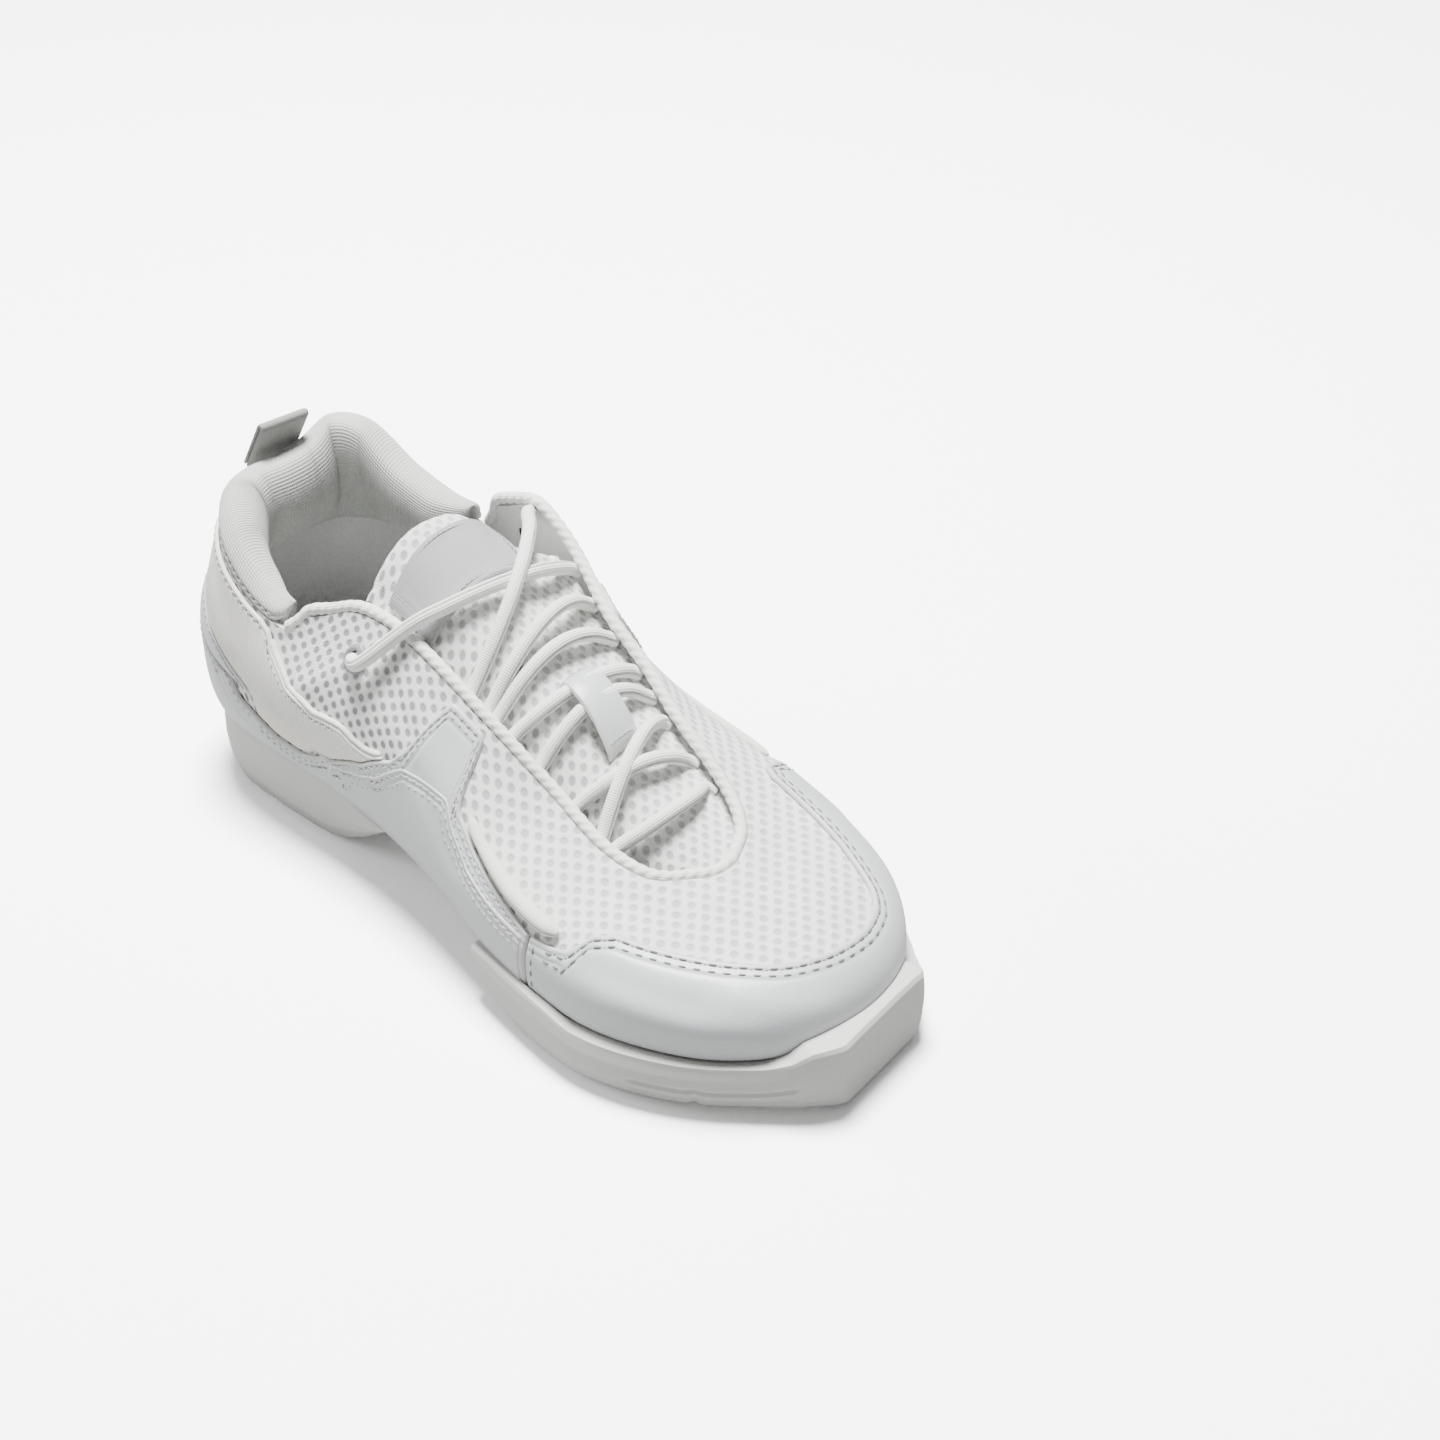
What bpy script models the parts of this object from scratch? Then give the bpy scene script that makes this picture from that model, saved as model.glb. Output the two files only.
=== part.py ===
"""A white split-sole dance sneaker for the right foot, standing empty on its two sole units.

x runs from the heel to the toe, y towards the inner (medial) side and z up, in metres.
"""

import math

import bpy
import numpy as np

# Driving sizes of the last
LENGTH = 0.268  # heel to toe, over the sole
LATERAL = 0.054  # centre line to the widest line at the ball, outer side
MEDIAL = 0.050  # centre line to the widest line at the ball, inner side
COLLAR_HEIGHT = 0.100  # floor to the collar at the back of the heel
HEEL_BED = 0.0255  # height of the heel unit's top face
BALL_BED = 0.0168  # height of the forefoot unit's top face at the ball
TOE_RISE = 0.0022  # how much higher that face lies at the toe

# Thicknesses and clearances
GAP = 0.0003  # between two pieces that touch
WALL = 0.0022  # mesh with its lining
OVERLAY = 0.0012  # smooth coated panels sewn on the mesh
INSOLE = 0.0028
TONGUE = 0.0048
PIPING = 0.0017  # radius of the corded piping round the throat
LACE = 0.0020  # radius of the lace

# The last, in sections round the shoe: heel, outer side, toe, inner side. Every row is one section.
# along: its widest point, share of LENGTH. across: the same, share of LATERAL (outer side, below 0) or
# MEDIAL. turn: the way the section faces, in degrees from +x. bulge and top: heights of the widest point
# and of the top edge, shares of COLLAR_HEIGHT. tuck and inset: how far the bottom and the top edge lie
# inside the widest point, shares of LATERAL. lean: slope of the wall at its top edge, in degrees.
# crown: how high the wall stands before it turns in, share of its rise.
LAST_COLUMNS = ("along", "across", "turn", "bulge", "tuck", "top", "inset", "lean", "crown")
LAST = (
    (-0.018, 0.00, 180.0, 0.50, 0.17, 1.000, 0.220, 98, 0.45),
    (-0.011, -0.30, 200.0, 0.50, 0.17, 1.005, 0.210, 96, 0.45),
    (0.019, -0.54, 228.0, 0.50, 0.17, 0.995, 0.180, 92, 0.45),
    (0.078, -0.70, 250.0, 0.50, 0.17, 0.920, 0.150, 86, 0.45),
    (0.149, -0.74, 263.0, 0.48, 0.17, 0.800, 0.150, 80, 0.45),
    (0.216, -0.74, 269.0, 0.44, 0.18, 0.775, 0.220, 70, 0.50),
    (0.284, -0.73, 271.0, 0.40, 0.22, 0.850, 0.280, 64, 0.55),
    (0.351, -0.74, 271.0, 0.37, 0.33, 0.855, 0.300, 60, 0.55),
    (0.425, -0.78, 270.0, 0.34, 0.40, 0.805, 0.320, 54, 0.55),
    (0.500, -0.85, 268.0, 0.32, 0.38, 0.705, 0.400, 46, 0.60),
    (0.582, -0.94, 268.0, 0.30, 0.18, 0.580, 0.520, 36, 0.60),
    (0.664, -0.99, 271.0, 0.28, 0.08, 0.505, 0.545, 28, 0.62),
    (0.746, -1.00, 280.5, 0.26, 0.065, 0.475, 0.610, 20, 0.65),
    (0.821, -0.90, 297.6, 0.25, 0.065, 0.470, 0.720, 19, 0.68),
    (0.888, -0.71, 315.9, 0.24, 0.065, 0.470, 0.810, 18, 0.70),
    (0.937, -0.44, 335.1, 0.24, 0.065, 0.473, 0.880, 18, 0.72),
    (0.957, -0.09, 354.1, 0.24, 0.065, 0.480, 0.900, 18, 0.72),
    (0.951, 0.26, 369.4, 0.24, 0.065, 0.488, 0.910, 18, 0.70),
    (0.922, 0.56, 381.1, 0.25, 0.065, 0.500, 0.875, 19, 0.68),
    (0.869, 0.80, 393.7, 0.26, 0.065, 0.520, 0.800, 22, 0.66),
    (0.799, 0.94, 406.0, 0.27, 0.065, 0.550, 0.695, 26, 0.64),
    (0.724, 1.00, 418.3, 0.28, 0.08, 0.600, 0.600, 32, 0.62),
    (0.646, 0.98, 427.4, 0.30, 0.14, 0.655, 0.480, 42, 0.60),
    (0.567, 0.90, 433.6, 0.32, 0.32, 0.730, 0.310, 54, 0.60),
    (0.489, 0.84, 439.7, 0.34, 0.40, 0.820, 0.200, 62, 0.60),
    (0.414, 0.82, 442.4, 0.37, 0.34, 0.915, 0.070, 72, 0.60),
    (0.343, 0.80, 445.0, 0.40, 0.26, 1.010, 0.020, 78, 0.55),
    (0.280, 0.81, 448.0, 0.44, 0.19, 0.950, 0.030, 80, 0.50),
    (0.216, 0.82, 451.0, 0.46, 0.18, 0.905, 0.040, 82, 0.45),
    (0.149, 0.81, 457.0, 0.48, 0.17, 0.960, 0.080, 84, 0.45),
    (0.078, 0.76, 470.0, 0.50, 0.17, 1.075, 0.120, 88, 0.45),
    (0.019, 0.59, 492.0, 0.50, 0.17, 1.080, 0.160, 92, 0.45),
    (-0.011, 0.31, 520.0, 0.50, 0.17, 1.020, 0.205, 96, 0.45),
)
ROUND = len(LAST)  # u runs from 0 at the heel to ROUND, once round the shoe
FOOT_SHARE = 0.16  # share of a section's v that lies under its widest point
FOOT_CORNER = 0.6  # below 1 the wall turns under the foot in a squarer corner


def smooth_step(x, low, high):
    t = np.clip((x - low) / (high - low), 0.0, 1.0)
    return t * t * (3.0 - 2.0 * t)


def bed(x):
    """Height of the sole units' top face, from the heel down to the ball and up to the toe."""
    drop = smooth_step(x, 0.12 * LENGTH, 0.66 * LENGTH)
    rise = smooth_step(x, 0.86 * LENGTH, LENGTH)
    return HEEL_BED + (BALL_BED - HEEL_BED) * drop + TOE_RISE * rise


def catmull_rom(before, start, end, after, t):
    return 0.5 * (
        2.0 * start
        + (end - before) * t
        + (2.0 * before - 5.0 * start + 4.0 * end - after) * t**2
        + (3.0 * start - before - 3.0 * end + after) * t**3
    )


def last_columns(u):
    """Each column of the last at u, on a smooth closed curve through its rows."""
    table = np.array(LAST)
    lap = np.floor(u / ROUND)
    index = np.floor(u).astype(int)
    t = (u - index)[..., None]
    rows = []
    for step in (-1, 0, 1, 2):
        row = table[(index + step) % ROUND].copy()
        row[..., 2] += 360.0 * np.floor((index + step) / ROUND)
        rows.append(row)
    mixed = catmull_rom(*rows, t)
    mixed[..., 2] -= 360.0 * lap
    return dict(zip(LAST_COLUMNS, np.moveaxis(mixed, -1, 0)))


def frame_of(u):
    """Plan point and outward direction of each section, with its lengths in metres."""
    row = last_columns(u)
    half = np.where(row["across"] < 0.0, LATERAL, MEDIAL)
    turn = np.radians(row["turn"])
    out = np.stack((np.cos(turn), np.sin(turn)), axis=-1)
    widest = np.stack((row["along"] * LENGTH, row["across"] * half), axis=-1)
    return row, widest, out


def skin_on_last(u, v):
    """Point of the upper's outer face: v is 0 at its bottom edge and 1 at its top edge."""
    u, v = np.broadcast_arrays(np.asarray(u, float), np.asarray(v, float))
    row, widest, out = frame_of(u)
    tuck = row["tuck"] * LATERAL
    inset = row["inset"] * LATERAL
    foot = bed(widest[..., 0] - tuck * out[..., 0]) + GAP
    bulge = row["bulge"] * COLLAR_HEIGHT
    top = row["top"] * COLLAR_HEIGHT
    under = np.clip(v / FOOT_SHARE, 0.0, 1.0) * 0.5 * np.pi
    low_q = -tuck * (1.0 - np.sin(under) ** FOOT_CORNER)
    low_z = foot + (bulge - foot) * (1.0 - np.clip(np.cos(under), 0.0, 1.0) ** FOOT_CORNER)
    t = np.clip((v - FOOT_SHARE) / (1.0 - FOOT_SHARE), 0.0, None)
    lean = np.radians(row["lean"])
    handle = 0.42 * np.hypot(inset, top - bulge)
    q = (-inset + handle * np.cos(lean)) * 3.0 * (1.0 - t) * t**2 - inset * t**3
    z = (
        bulge * (1.0 - t) ** 3
        + (bulge + row["crown"] * (top - bulge)) * 3.0 * (1.0 - t) ** 2 * t
        + (top - handle * np.sin(lean)) * 3.0 * (1.0 - t) * t**2
        + top * t**3
    )
    below = v < FOOT_SHARE
    q = np.where(below, low_q, q)
    z = np.where(below, low_z, z)
    return np.stack((widest[..., 0] + q * out[..., 0], widest[..., 1] + q * out[..., 1], z), axis=-1)


def skin(u, v, out=0.0):
    """The same point moved out of the upper along its normal."""
    u, v, out = np.broadcast_arrays(np.asarray(u, float), np.asarray(v, float), np.asarray(out, float))
    step = 0.02
    low = np.clip(v - step, 0.0, 1.2)
    high = np.clip(v + step, 0.0, 1.2)
    round_it = skin_on_last(u + step, v) - skin_on_last(u - step, v)
    up_it = skin_on_last(u, high) - skin_on_last(u, low)
    normal = np.cross(round_it, up_it)
    normal /= np.linalg.norm(normal, axis=-1, keepdims=True)
    return skin_on_last(u, v) + normal * out[..., None]


def foot_v(u, rise):
    """The v at which the wall stands this high above its bottom edge, below its widest point."""
    row, widest, out = frame_of(np.asarray(u, float))
    tuck = row["tuck"] * LATERAL
    foot = bed(widest[..., 0] - tuck * out[..., 0]) + GAP
    share = np.clip(rise / (row["bulge"] * COLLAR_HEIGHT - foot), 0.0, 1.0)
    return FOOT_SHARE * np.arccos((1.0 - share) ** (1.0 / FOOT_CORNER)) / (0.5 * np.pi)


def across(s):
    """The inner side's u that faces s on the outer side, so that a pair of them spans the shoe."""
    return ROUND - s - 0.3 * smooth_step(s, 7.0, 10.0)


def columns(table, at):
    """Each column of a table, after its first, at these values of the first."""
    table = np.array(table)
    return [np.interp(at, table[:, 0], column) for column in table.T[1:]]


def mirrored(table):
    """A table of the outer side, with its second half on the inner side."""
    return tuple(sorted([(-row[0], *row[1:]) for row in table if row[0] > 0.0] + list(table)))


def material(name, colour, roughness):
    made = bpy.data.materials.new(name)
    made.use_nodes = True
    shader = made.node_tree.nodes["Principled BSDF"]
    shader.inputs["Base Color"].default_value = (*colour, 1.0)
    shader.inputs["Roughness"].default_value = roughness
    made.diffuse_color = (*colour, 1.0)
    return made


def loft(name, rings, finish, closed=False, folded=False):
    """A solid through rings of equal length, closed into a loop or capped at its two ends.

    A folded end has its ring's two halves side by side, and its cap joins them point by point.
    """
    rings = np.asarray(rings, float)
    count, size = rings.shape[:2]
    faces = []
    for i in range(count if closed else count - 1):
        here, there = i * size, (i + 1) % count * size
        for j in range(size):
            k = (j + 1) % size
            faces.append((here + j, here + k, there + k, there + j))
    if not closed:
        faces.append(tuple(range(size))[::-1])
        last = (count - 1) * size
        if folded:
            for j in range(size // 2 - 1):
                faces.append((last + j, last + j + 1, last + size - 2 - j, last + size - 1 - j))
        else:
            faces.append(tuple(last + j for j in range(size)))
    mesh = bpy.data.meshes.new(name)
    mesh.from_pydata(rings.reshape(-1, 3).tolist(), [], faces)
    mesh.validate()
    points = rings.reshape(-1, 3)
    volume = 0.0
    for face in faces:
        a = points[face[0]]
        for j in range(1, len(face) - 1):
            volume += np.dot(a, np.cross(points[face[j]], points[face[j + 1]]))
    if volume < 0.0:
        mesh.flip_normals()
    mesh.shade_smooth()
    mesh.set_sharp_from_angle(angle=math.radians(40))
    mesh.materials.append(finish)
    made = bpy.data.objects.new(name, mesh)
    bpy.context.scene.collection.objects.link(made)
    return made


SOLE_LIP = OVERLAY + 5.5 * GAP  # from the upper's wall to the lip that stands round it
# Where the upper's wall ends below the padded collar, which carries on from there
RIM = ((-9.0, 1.0), (-5.9, 1.0), (-5.5, 0.865), (4.6, 0.865), (4.95, 1.0), (9.0, 1.0))
COLLAR_ENDS = (-5.44, 4.56)
PIPING_ENDS = (ROUND - 5.92, 5.02)
# Top edge of the smooth panel that runs round the heel, under the arch and up to the lace straps
SIDE_EDGE = mirrored((
    (0.0, 0.30), (1.0, 0.29), (2.0, 0.25), (3.0, 0.19), (3.75, 0.15), (4.75, 0.135), (5.35, 0.14),
    (6.15, 0.17), (7.0, 0.28), (7.7, 0.44), (7.95, 0.57), (8.1, 0.71), (8.25, 0.87), (8.38, 0.97),
    (8.98, 0.97), (9.04, 0.87), (9.1, 0.70), (9.2, 0.56), (9.65, 0.47), (10.05, 0.425), (10.55, 0.385),
    (10.98, 0.345),
))
# Top edge of the stiffened band above it at the heel
BAND_EDGE = mirrored(((0.0, 0.52), (1.0, 0.51), (2.0, 0.45), (3.2, 0.33), (3.6, 0.25), (4.1, 0.18)))
# Top edge of the ribbed panel from the collar down to a point at the lace strap
RIB_EDGE = mirrored((
    (0.0, 0.855), (4.1, 0.845), (4.35, 0.79), (4.5, 0.66), (5.05, 0.43), (5.7, 0.335), (6.75, 0.37),
    (7.5, 0.49),
))
CAP_EDGE = (
    (11.02, 0.35), (11.4, 0.39), (11.65, 0.44), (11.85, 0.60), (12.2, 0.655), (12.8, 0.635), (13.7, 0.61),
    (14.55, 0.58), (15.3, 0.54), (16.0, 0.505), (17.0, 0.47), (17.65, 0.465), (18.0, 0.49), (18.55, 0.57),
    (19.2, 0.64), (19.95, 0.70), (20.55, 0.74), (20.9, 0.72), (21.15, 0.60), (21.4, 0.46), (21.65, 0.41),
    (21.96, 0.37),
)
# The cord along the lower edge of each side's mesh: u, v, radius as a share of LACE
CORD = (
    (9.38, 0.60, 0.60), (9.65, 0.545, 0.70), (10.15, 0.50, 0.95), (10.6, 0.475, 1.05),
    (11.1, 0.465, 1.05), (11.4, 0.475, 0.85),
)

# The two sole units, in rows from one end to the other. s: u on the outer side. out and inner: how far
# the wall stands out from the last's widest line on the outer and the inner side. under: how far its foot
# lies inside it. ground and rim: heights of its foot and of its top edge. All shares of HEEL_BED.
HEEL_UNIT = (
    (7.12, -0.14, -0.14, 0.12, 0.76, 0.80), (6.85, -0.12, -0.12, 0.16, 0.59, 0.80),
    (6.4, -0.10, -0.10, 0.20, 0.34, 0.86), (6.0, -0.10, -0.10, 0.22, 0.16, 0.92),
    (5.7, -0.10, -0.10, 0.23, 0.04, 0.96), (5.45, -0.09, -0.09, 0.23, 0.0, 0.98),
    (4.8, -0.09, -0.09, 0.23, 0.0, 0.99), (4.0, -0.09, -0.09, 0.22, 0.0, 0.99),
    (3.3, -0.09, -0.09, 0.20, 0.0, 0.99), (2.6, -0.08, -0.08, 0.18, 0.0, 0.99),
    (2.0, -0.08, -0.08, 0.18, 0.0, 0.99), (1.4, -0.08, -0.08, 0.18, 0.0, 0.99),
    (0.9, -0.08, -0.08, 0.18, 0.01, 0.99), (0.5, -0.08, -0.08, 0.18, 0.02, 0.99),
    (0.15, -0.08, -0.08, 0.18, 0.03, 0.99),
)
FORE_UNIT = (
    (9.9, 0.14, 0.14, 0.10, 0.36, 0.76), (10.1, 0.15, 0.15, 0.14, 0.22, 0.765),
    (10.4, 0.16, 0.16, 0.17, 0.10, 0.765), (10.75, 0.175, 0.16, 0.19, 0.02, 0.765),
    (11.0, 0.19, 0.16, 0.21, 0.0, 0.765), (11.5, 0.21, 0.16, 0.24, 0.0, 0.75),
    (11.9, 0.225, 0.16, 0.26, 0.0, 0.69), (12.3, 0.23, 0.16, 0.30, 0.0, 0.69),
    (12.7, 0.225, 0.16, 0.33, 0.0, 0.69), (12.85, 0.22, 0.16, 0.34, 0.0, 0.69),
    (13.4, 0.21, 0.17, 0.35, 0.0, 0.69), (13.56, 0.205, 0.17, 0.35, 0.0, 0.69),
    (13.66, 0.20, 0.17, 0.35, 0.06, 0.69), (13.76, 0.20, 0.17, 0.35, 0.0, 0.69),
    (14.2, 0.20, 0.19, 0.34, 0.01, 0.70), (14.6, 0.23, 0.23, 0.29, 0.03, 0.72),
    (14.9, 0.29, 0.28, 0.23, 0.05, 0.80), (15.0, 0.31, 0.30, 0.20, 0.055, 0.86),
    (15.15, 0.34, 0.33, 0.17, 0.06, 0.93), (15.5, 0.40, 0.40, 0.09, 0.04, 0.96),
    (15.9, 0.42, 0.42, 0.05, 0.03, 0.97), (16.32, 0.42, 0.42, 0.04, 0.03, 0.97),
)
# The flat face at the very front of the toe bumper: its outward direction and how far out it lies
FACE_TURN = math.radians(6.1)
FACE_OUT = 0.9757 * LENGTH
# The wall's points between its foot and its rim: height, how far it lies inside the widest one, and
# whether it is the bottom of one of the grooves along the forefoot's outer side
HEEL_WALL = ((0.08, 0.45, 0), (0.30, 0.12, 0), (0.52, 0.0, 0), (0.74, 0.03, 0), (0.94, 0.14, 0))
FORE_WALL = (
    (0.08, 0.45, 0), (0.22, 0.18, 0), (0.29, 0.12, 1), (0.36, 0.08, 0), (0.46, 0.02, 0),
    (0.53, 0.0, 1), (0.60, 0.0, 0), (0.76, 0.03, 0), (0.94, 0.14, 0),
)
GROOVED = (12.8, 14.95)  # s from and to which those grooves run
GROOVE = 0.0009  # their depth

# The tongue, front to back, as shares of LENGTH. rise: height of its middle. half: half its width.
# drop: how much lower its edges lie.
TONGUE_ROWS = (
    (0.800, 0.1450, 0.060, 0.024), (0.775, 0.1560, 0.070, 0.034), (0.745, 0.1660, 0.078, 0.046),
    (0.672, 0.2060, 0.094, 0.074), (0.600, 0.2460, 0.104, 0.092), (0.520, 0.2880, 0.106, 0.100),
    (0.466, 0.3280, 0.106, 0.110), (0.410, 0.3610, 0.102, 0.116), (0.360, 0.3900, 0.098, 0.120),
    (0.325, 0.4060, 0.094, 0.120), (0.306, 0.4100, 0.090, 0.120),
)
TONGUE_MIDDLE = 0.0042  # it sits this much towards the inner side
EYELETS = ((6.40, 0.79), (ROUND - 6.55, 0.83))  # u and v of the two lace holes
# Section of their rings: radius and how far out of the upper
EYELET_SECTION = ((0.0027, 0.0003), (0.0045, 0.0003), (0.0045, 0.0009), (0.0038, 0.0014), (0.0030, 0.0013))
# The lace runs: the throat edge's u on the outer side, x over the middle of the tongue as a share of
# LENGTH, and the edge's u on the inner side. The first of lace_top comes out of the outer eyelet.
LACES = {
    "lace_front": ((11.1, 0.706, 20.05),),
    "lace_lower": ((10.25, 0.648, 20.95), (10.8, 0.630, 22.0)),
    "lace_middle_rear": ((9.15, 0.550, 23.05),),
    "lace_middle_front": ((9.6, 0.568, 22.55),),
    "lace_upper": ((8.72, 0.486, 24.3), (8.86, 0.502, 23.7)),
    "lace_top": ((6.40, 0.447, 24.9), (8.4, 0.452, 26.0)),
}


def tube(name, path, radius, finish, sides=8, steps=3):
    """A round cord through these points, with flat ends."""
    path = np.asarray(path, float)
    radius = np.broadcast_to(radius, len(path))
    ends = np.concatenate((path[:1] * 2.0 - path[1:2], path, path[-1:] * 2.0 - path[-2:-1]))
    points, radii = [], []
    for i in range(len(path) - 1):
        for t in np.linspace(0.0, 1.0, steps, endpoint=False):
            points.append(catmull_rom(*ends[i : i + 4], t))
            radii.append(radius[i] * (1.0 - t) + radius[i + 1] * t)
    points = np.array(points + [path[-1]])
    radii.append(radius[-1])
    along = np.gradient(points, axis=0)
    along /= np.linalg.norm(along, axis=1, keepdims=True)
    side = np.cross(along[0], (0.0, 0.0, 1.0))
    rings = []
    for point, way, size in zip(points, along, radii):
        side = side - way * np.dot(side, way)
        side /= np.linalg.norm(side)
        other = np.cross(way, side)
        turn = np.arange(sides) / sides * 2.0 * np.pi
        rings.append(point + size * (np.outer(np.cos(turn), side) + np.outer(np.sin(turn), other)))
    return loft(name, rings, finish)


def joined(name, pieces, operation="UNION"):
    """One solid from the first piece and the others, which go."""
    base = pieces[0]
    for other in pieces[1:]:
        cut = base.modifiers.new("join", "BOOLEAN")
        cut.operation = operation
        cut.solver = "EXACT"
        cut.object = other
    graph = bpy.context.evaluated_depsgraph_get()
    mesh = bpy.data.meshes.new_from_object(base.evaluated_get(graph))
    for piece in pieces:
        bpy.data.objects.remove(piece, do_unlink=True)
    mesh.name = name
    mesh.shade_smooth()
    mesh.set_sharp_from_angle(angle=math.radians(40))
    made = bpy.data.objects.new(name, mesh)
    bpy.context.scene.collection.objects.link(made)
    return made


def panel(name, stations, low, high, finish, lines, face=None, inner=GAP + 0.0003, outer=GAP + OVERLAY):
    """A thin piece on the upper's own surface, between two edges given as v at each station.

    lines are the rows of its back and face those of its front, which can be fewer.
    """
    rings = []
    back = np.array(lines)
    front = np.array(lines if face is None else face)
    for u, bottom, top in zip(stations, low, high):
        sides = []
        for rows in (front, back):
            order = np.arange(len(rows)) * 0.0012
            sides.append(np.clip(rows, bottom + order, top - order[::-1]))
        rings.append(np.concatenate((skin(u, sides[0], outer), skin(u, sides[1][::-1], inner))))
    return loft(name, rings, finish)


def between(table, step, low=None, high=None):
    """Stations at a table's rows and every step between them."""
    first = table[0][0] if low is None else low
    last = table[-1][0] if high is None else high
    own = [row[0] for row in table if first < row[0] < last]
    whole = np.arange(math.ceil(first / step) * step, last, step)
    every = [u for u in whole if min([abs(u - o) for o in own] + [9.0]) > 0.3 * step]
    return np.array(sorted(set([first] + own + every + [last])))


def build_upper(finish):
    """The mesh upper: one hollow wall, open along the foot and at the collar and throat."""
    rings = []
    outer = np.array((0.0, 0.04, 0.08, 0.12, 0.16, 0.26, 0.39, 0.52, 0.65, 0.78, 0.90, 1.0))
    inner = np.array((1.0, 0.75, 0.50, 0.30, 0.16, 0.07, 0.0))
    stations = sorted(list(np.arange(0.0, ROUND, 0.5)) + [4.6, 4.8, 4.95, ROUND - 5.7, ROUND - 5.9])
    for u in stations:
        (top,) = columns(RIM, (u + 9.0) % ROUND - 9.0)
        rings.append(np.concatenate((skin(u, outer * top), skin(u, inner * top, -WALL))))
    wall = loft("upper", rings, finish, closed=True)
    cutters = []
    for u, v in EYELETS:
        cutters.append(tube("cut", skin(u, v, np.array((-0.006, 0.0, 0.006))), 0.0026, finish))
    return joined("upper", [wall] + cutters, "DIFFERENCE")


def build_eyelet(name, u, v, finish):
    """A flat ring on the upper's surface round its lace hole."""
    step = 0.01
    to_u = (skin_on_last(u + step, v) - skin_on_last(u - step, v)) / (2.0 * step)
    to_v = (skin_on_last(u, v + step) - skin_on_last(u, v - step)) / (2.0 * step)
    side = to_u / np.linalg.norm(to_u)
    up = to_v - side * np.dot(side, to_v)
    up /= np.linalg.norm(up)
    rings = []
    for turn in np.arange(16) / 16.0 * 2.0 * np.pi:
        ring = []
        for radius, out in EYELET_SECTION:
            way = radius * (np.cos(turn) * side + np.sin(turn) * up)
            dv = np.dot(way, up) / np.dot(to_v, up)
            du = (np.dot(way, side) - dv * np.dot(to_v, side)) / np.dot(to_u, side)
            ring.append(skin(u + du, v + dv, out))
        rings.append(ring)
    return loft(name, rings, finish, closed=True)


def flat_front(points, inside=0.0):
    """Points past the bumper's flat front face, brought back to it."""
    face = np.array((math.cos(FACE_TURN), math.sin(FACE_TURN), 0.0))
    past = np.clip(points @ face - (FACE_OUT - inside), 0.0, None)
    return points - past[..., None] * face


def sole_side(u, out, under, ground, rim, lip, groove=0.0):
    """Half of a sole unit's section, from its foot up the wall and over the rim to the pocket's floor."""
    row, widest, way = frame_of(np.asarray(u, float))
    way = np.array((way[0], way[1], 0.0))
    base = np.array((widest[0], widest[1], 0.0))
    size = HEEL_BED
    up = np.array((0.0, 0.0, 1.0))
    foot = flat_front(base + way * (out - under) * size, 0.0008)
    points = [foot + up * ground * size]
    for height, inside, grooved in FORE_WALL if lip else HEEL_WALL:
        z = ground + (rim - ground) * height
        wall = flat_front(base + way * (out - under * inside) * size)
        points.append(wall - way * groove * grooved + up * z * size)
    tuck = row["tuck"] * LATERAL
    floor = float(bed(base[0] - tuck * way[0]))
    if lip:
        v = float(foot_v(u, max(rim * size - floor, 0.0006)))
        hold = skin_on_last(u, v) + way * SOLE_LIP
        crown = flat_front(base + way * (out - 0.05) * size, 0.0010)
        if np.dot(crown - hold, way) < 0.0006:
            crown = hold + way * 0.0006
        crown[2] = hold[2] = max(rim * size, floor + 0.0006)
        low = skin_on_last(u, min(0.05, 0.6 * v)) + way * SOLE_LIP
        low[2] = floor + 0.0002
        points += [crown, hold, low, base - way * tuck * 1.6 + up * floor]
    else:
        points += [base + way * (out - 0.05) * size + up * rim * size]
        points += [base + way * (out - 0.13) * size + up * floor, base - way * tuck * 0.8 + up * floor]
        points += [base - way * tuck * 1.3 + up * floor]
    return np.array(points)


def build_unit(name, table, lip, finish):
    """One of the two sole units, in sections across the shoe."""
    rings = []
    for s, out, inner, under, ground, rim in table:
        groove = GROOVE if lip and GROOVED[0] < s < GROOVED[1] else 0.0
        outer_side = sole_side(s, out, under, ground, rim, lip, groove)
        inner_side = sole_side(across(s), inner, under, ground, rim, lip)
        rings.append(np.concatenate((outer_side, inner_side[::-1])))
    return loft(name, rings, finish, folded=True)


def build_plates(insole_finish, arch_finish):
    """The insole inside the upper, and the smooth piece that closes the arch between the sole units."""
    rings = []
    for s in (0.7, 0.85, 1.05, 1.5, 2.2, *range(3, 14), 13.8, 14.5, 15.1, 15.6, 16.0, 16.25):
        edges = [skin(u, float(foot_v(u, 0.0009)), -WALL - 0.0020) for u in (s, across(s))]
        low = [edge + (0.0, 0.0, 0.0002) for edge in edges]
        middle = 0.5 * (low[0] + low[1])
        floor = middle.copy()
        floor[2] = float(bed(middle[0])) + 0.0036
        up = np.array((0.0, 0.0, INSOLE))
        rings.append([low[0], low[0] + up, floor + up, low[1] + up, low[1], floor])
    insole = loft("insole", rings, insole_finish)
    rings = []
    for s in np.linspace(7.16, 9.86, 8):
        ends = []
        for u in (s, across(s)):
            row, widest, way = frame_of(np.asarray(u, float))
            q = -row["tuck"] * LATERAL + 0.006
            ends.append(np.array((*(widest + way * q), 0.0)))
        for end in ends:
            end[2] = float(bed(end[0]))
        down = np.array((0.0, 0.0, -0.0018))
        middle = 0.5 * (ends[0] + ends[1])
        rings.append([ends[0], middle, ends[1], ends[1] + down, middle + down, ends[0] + down])
    return insole, loft("arch_bottom", rings, arch_finish)


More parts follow.
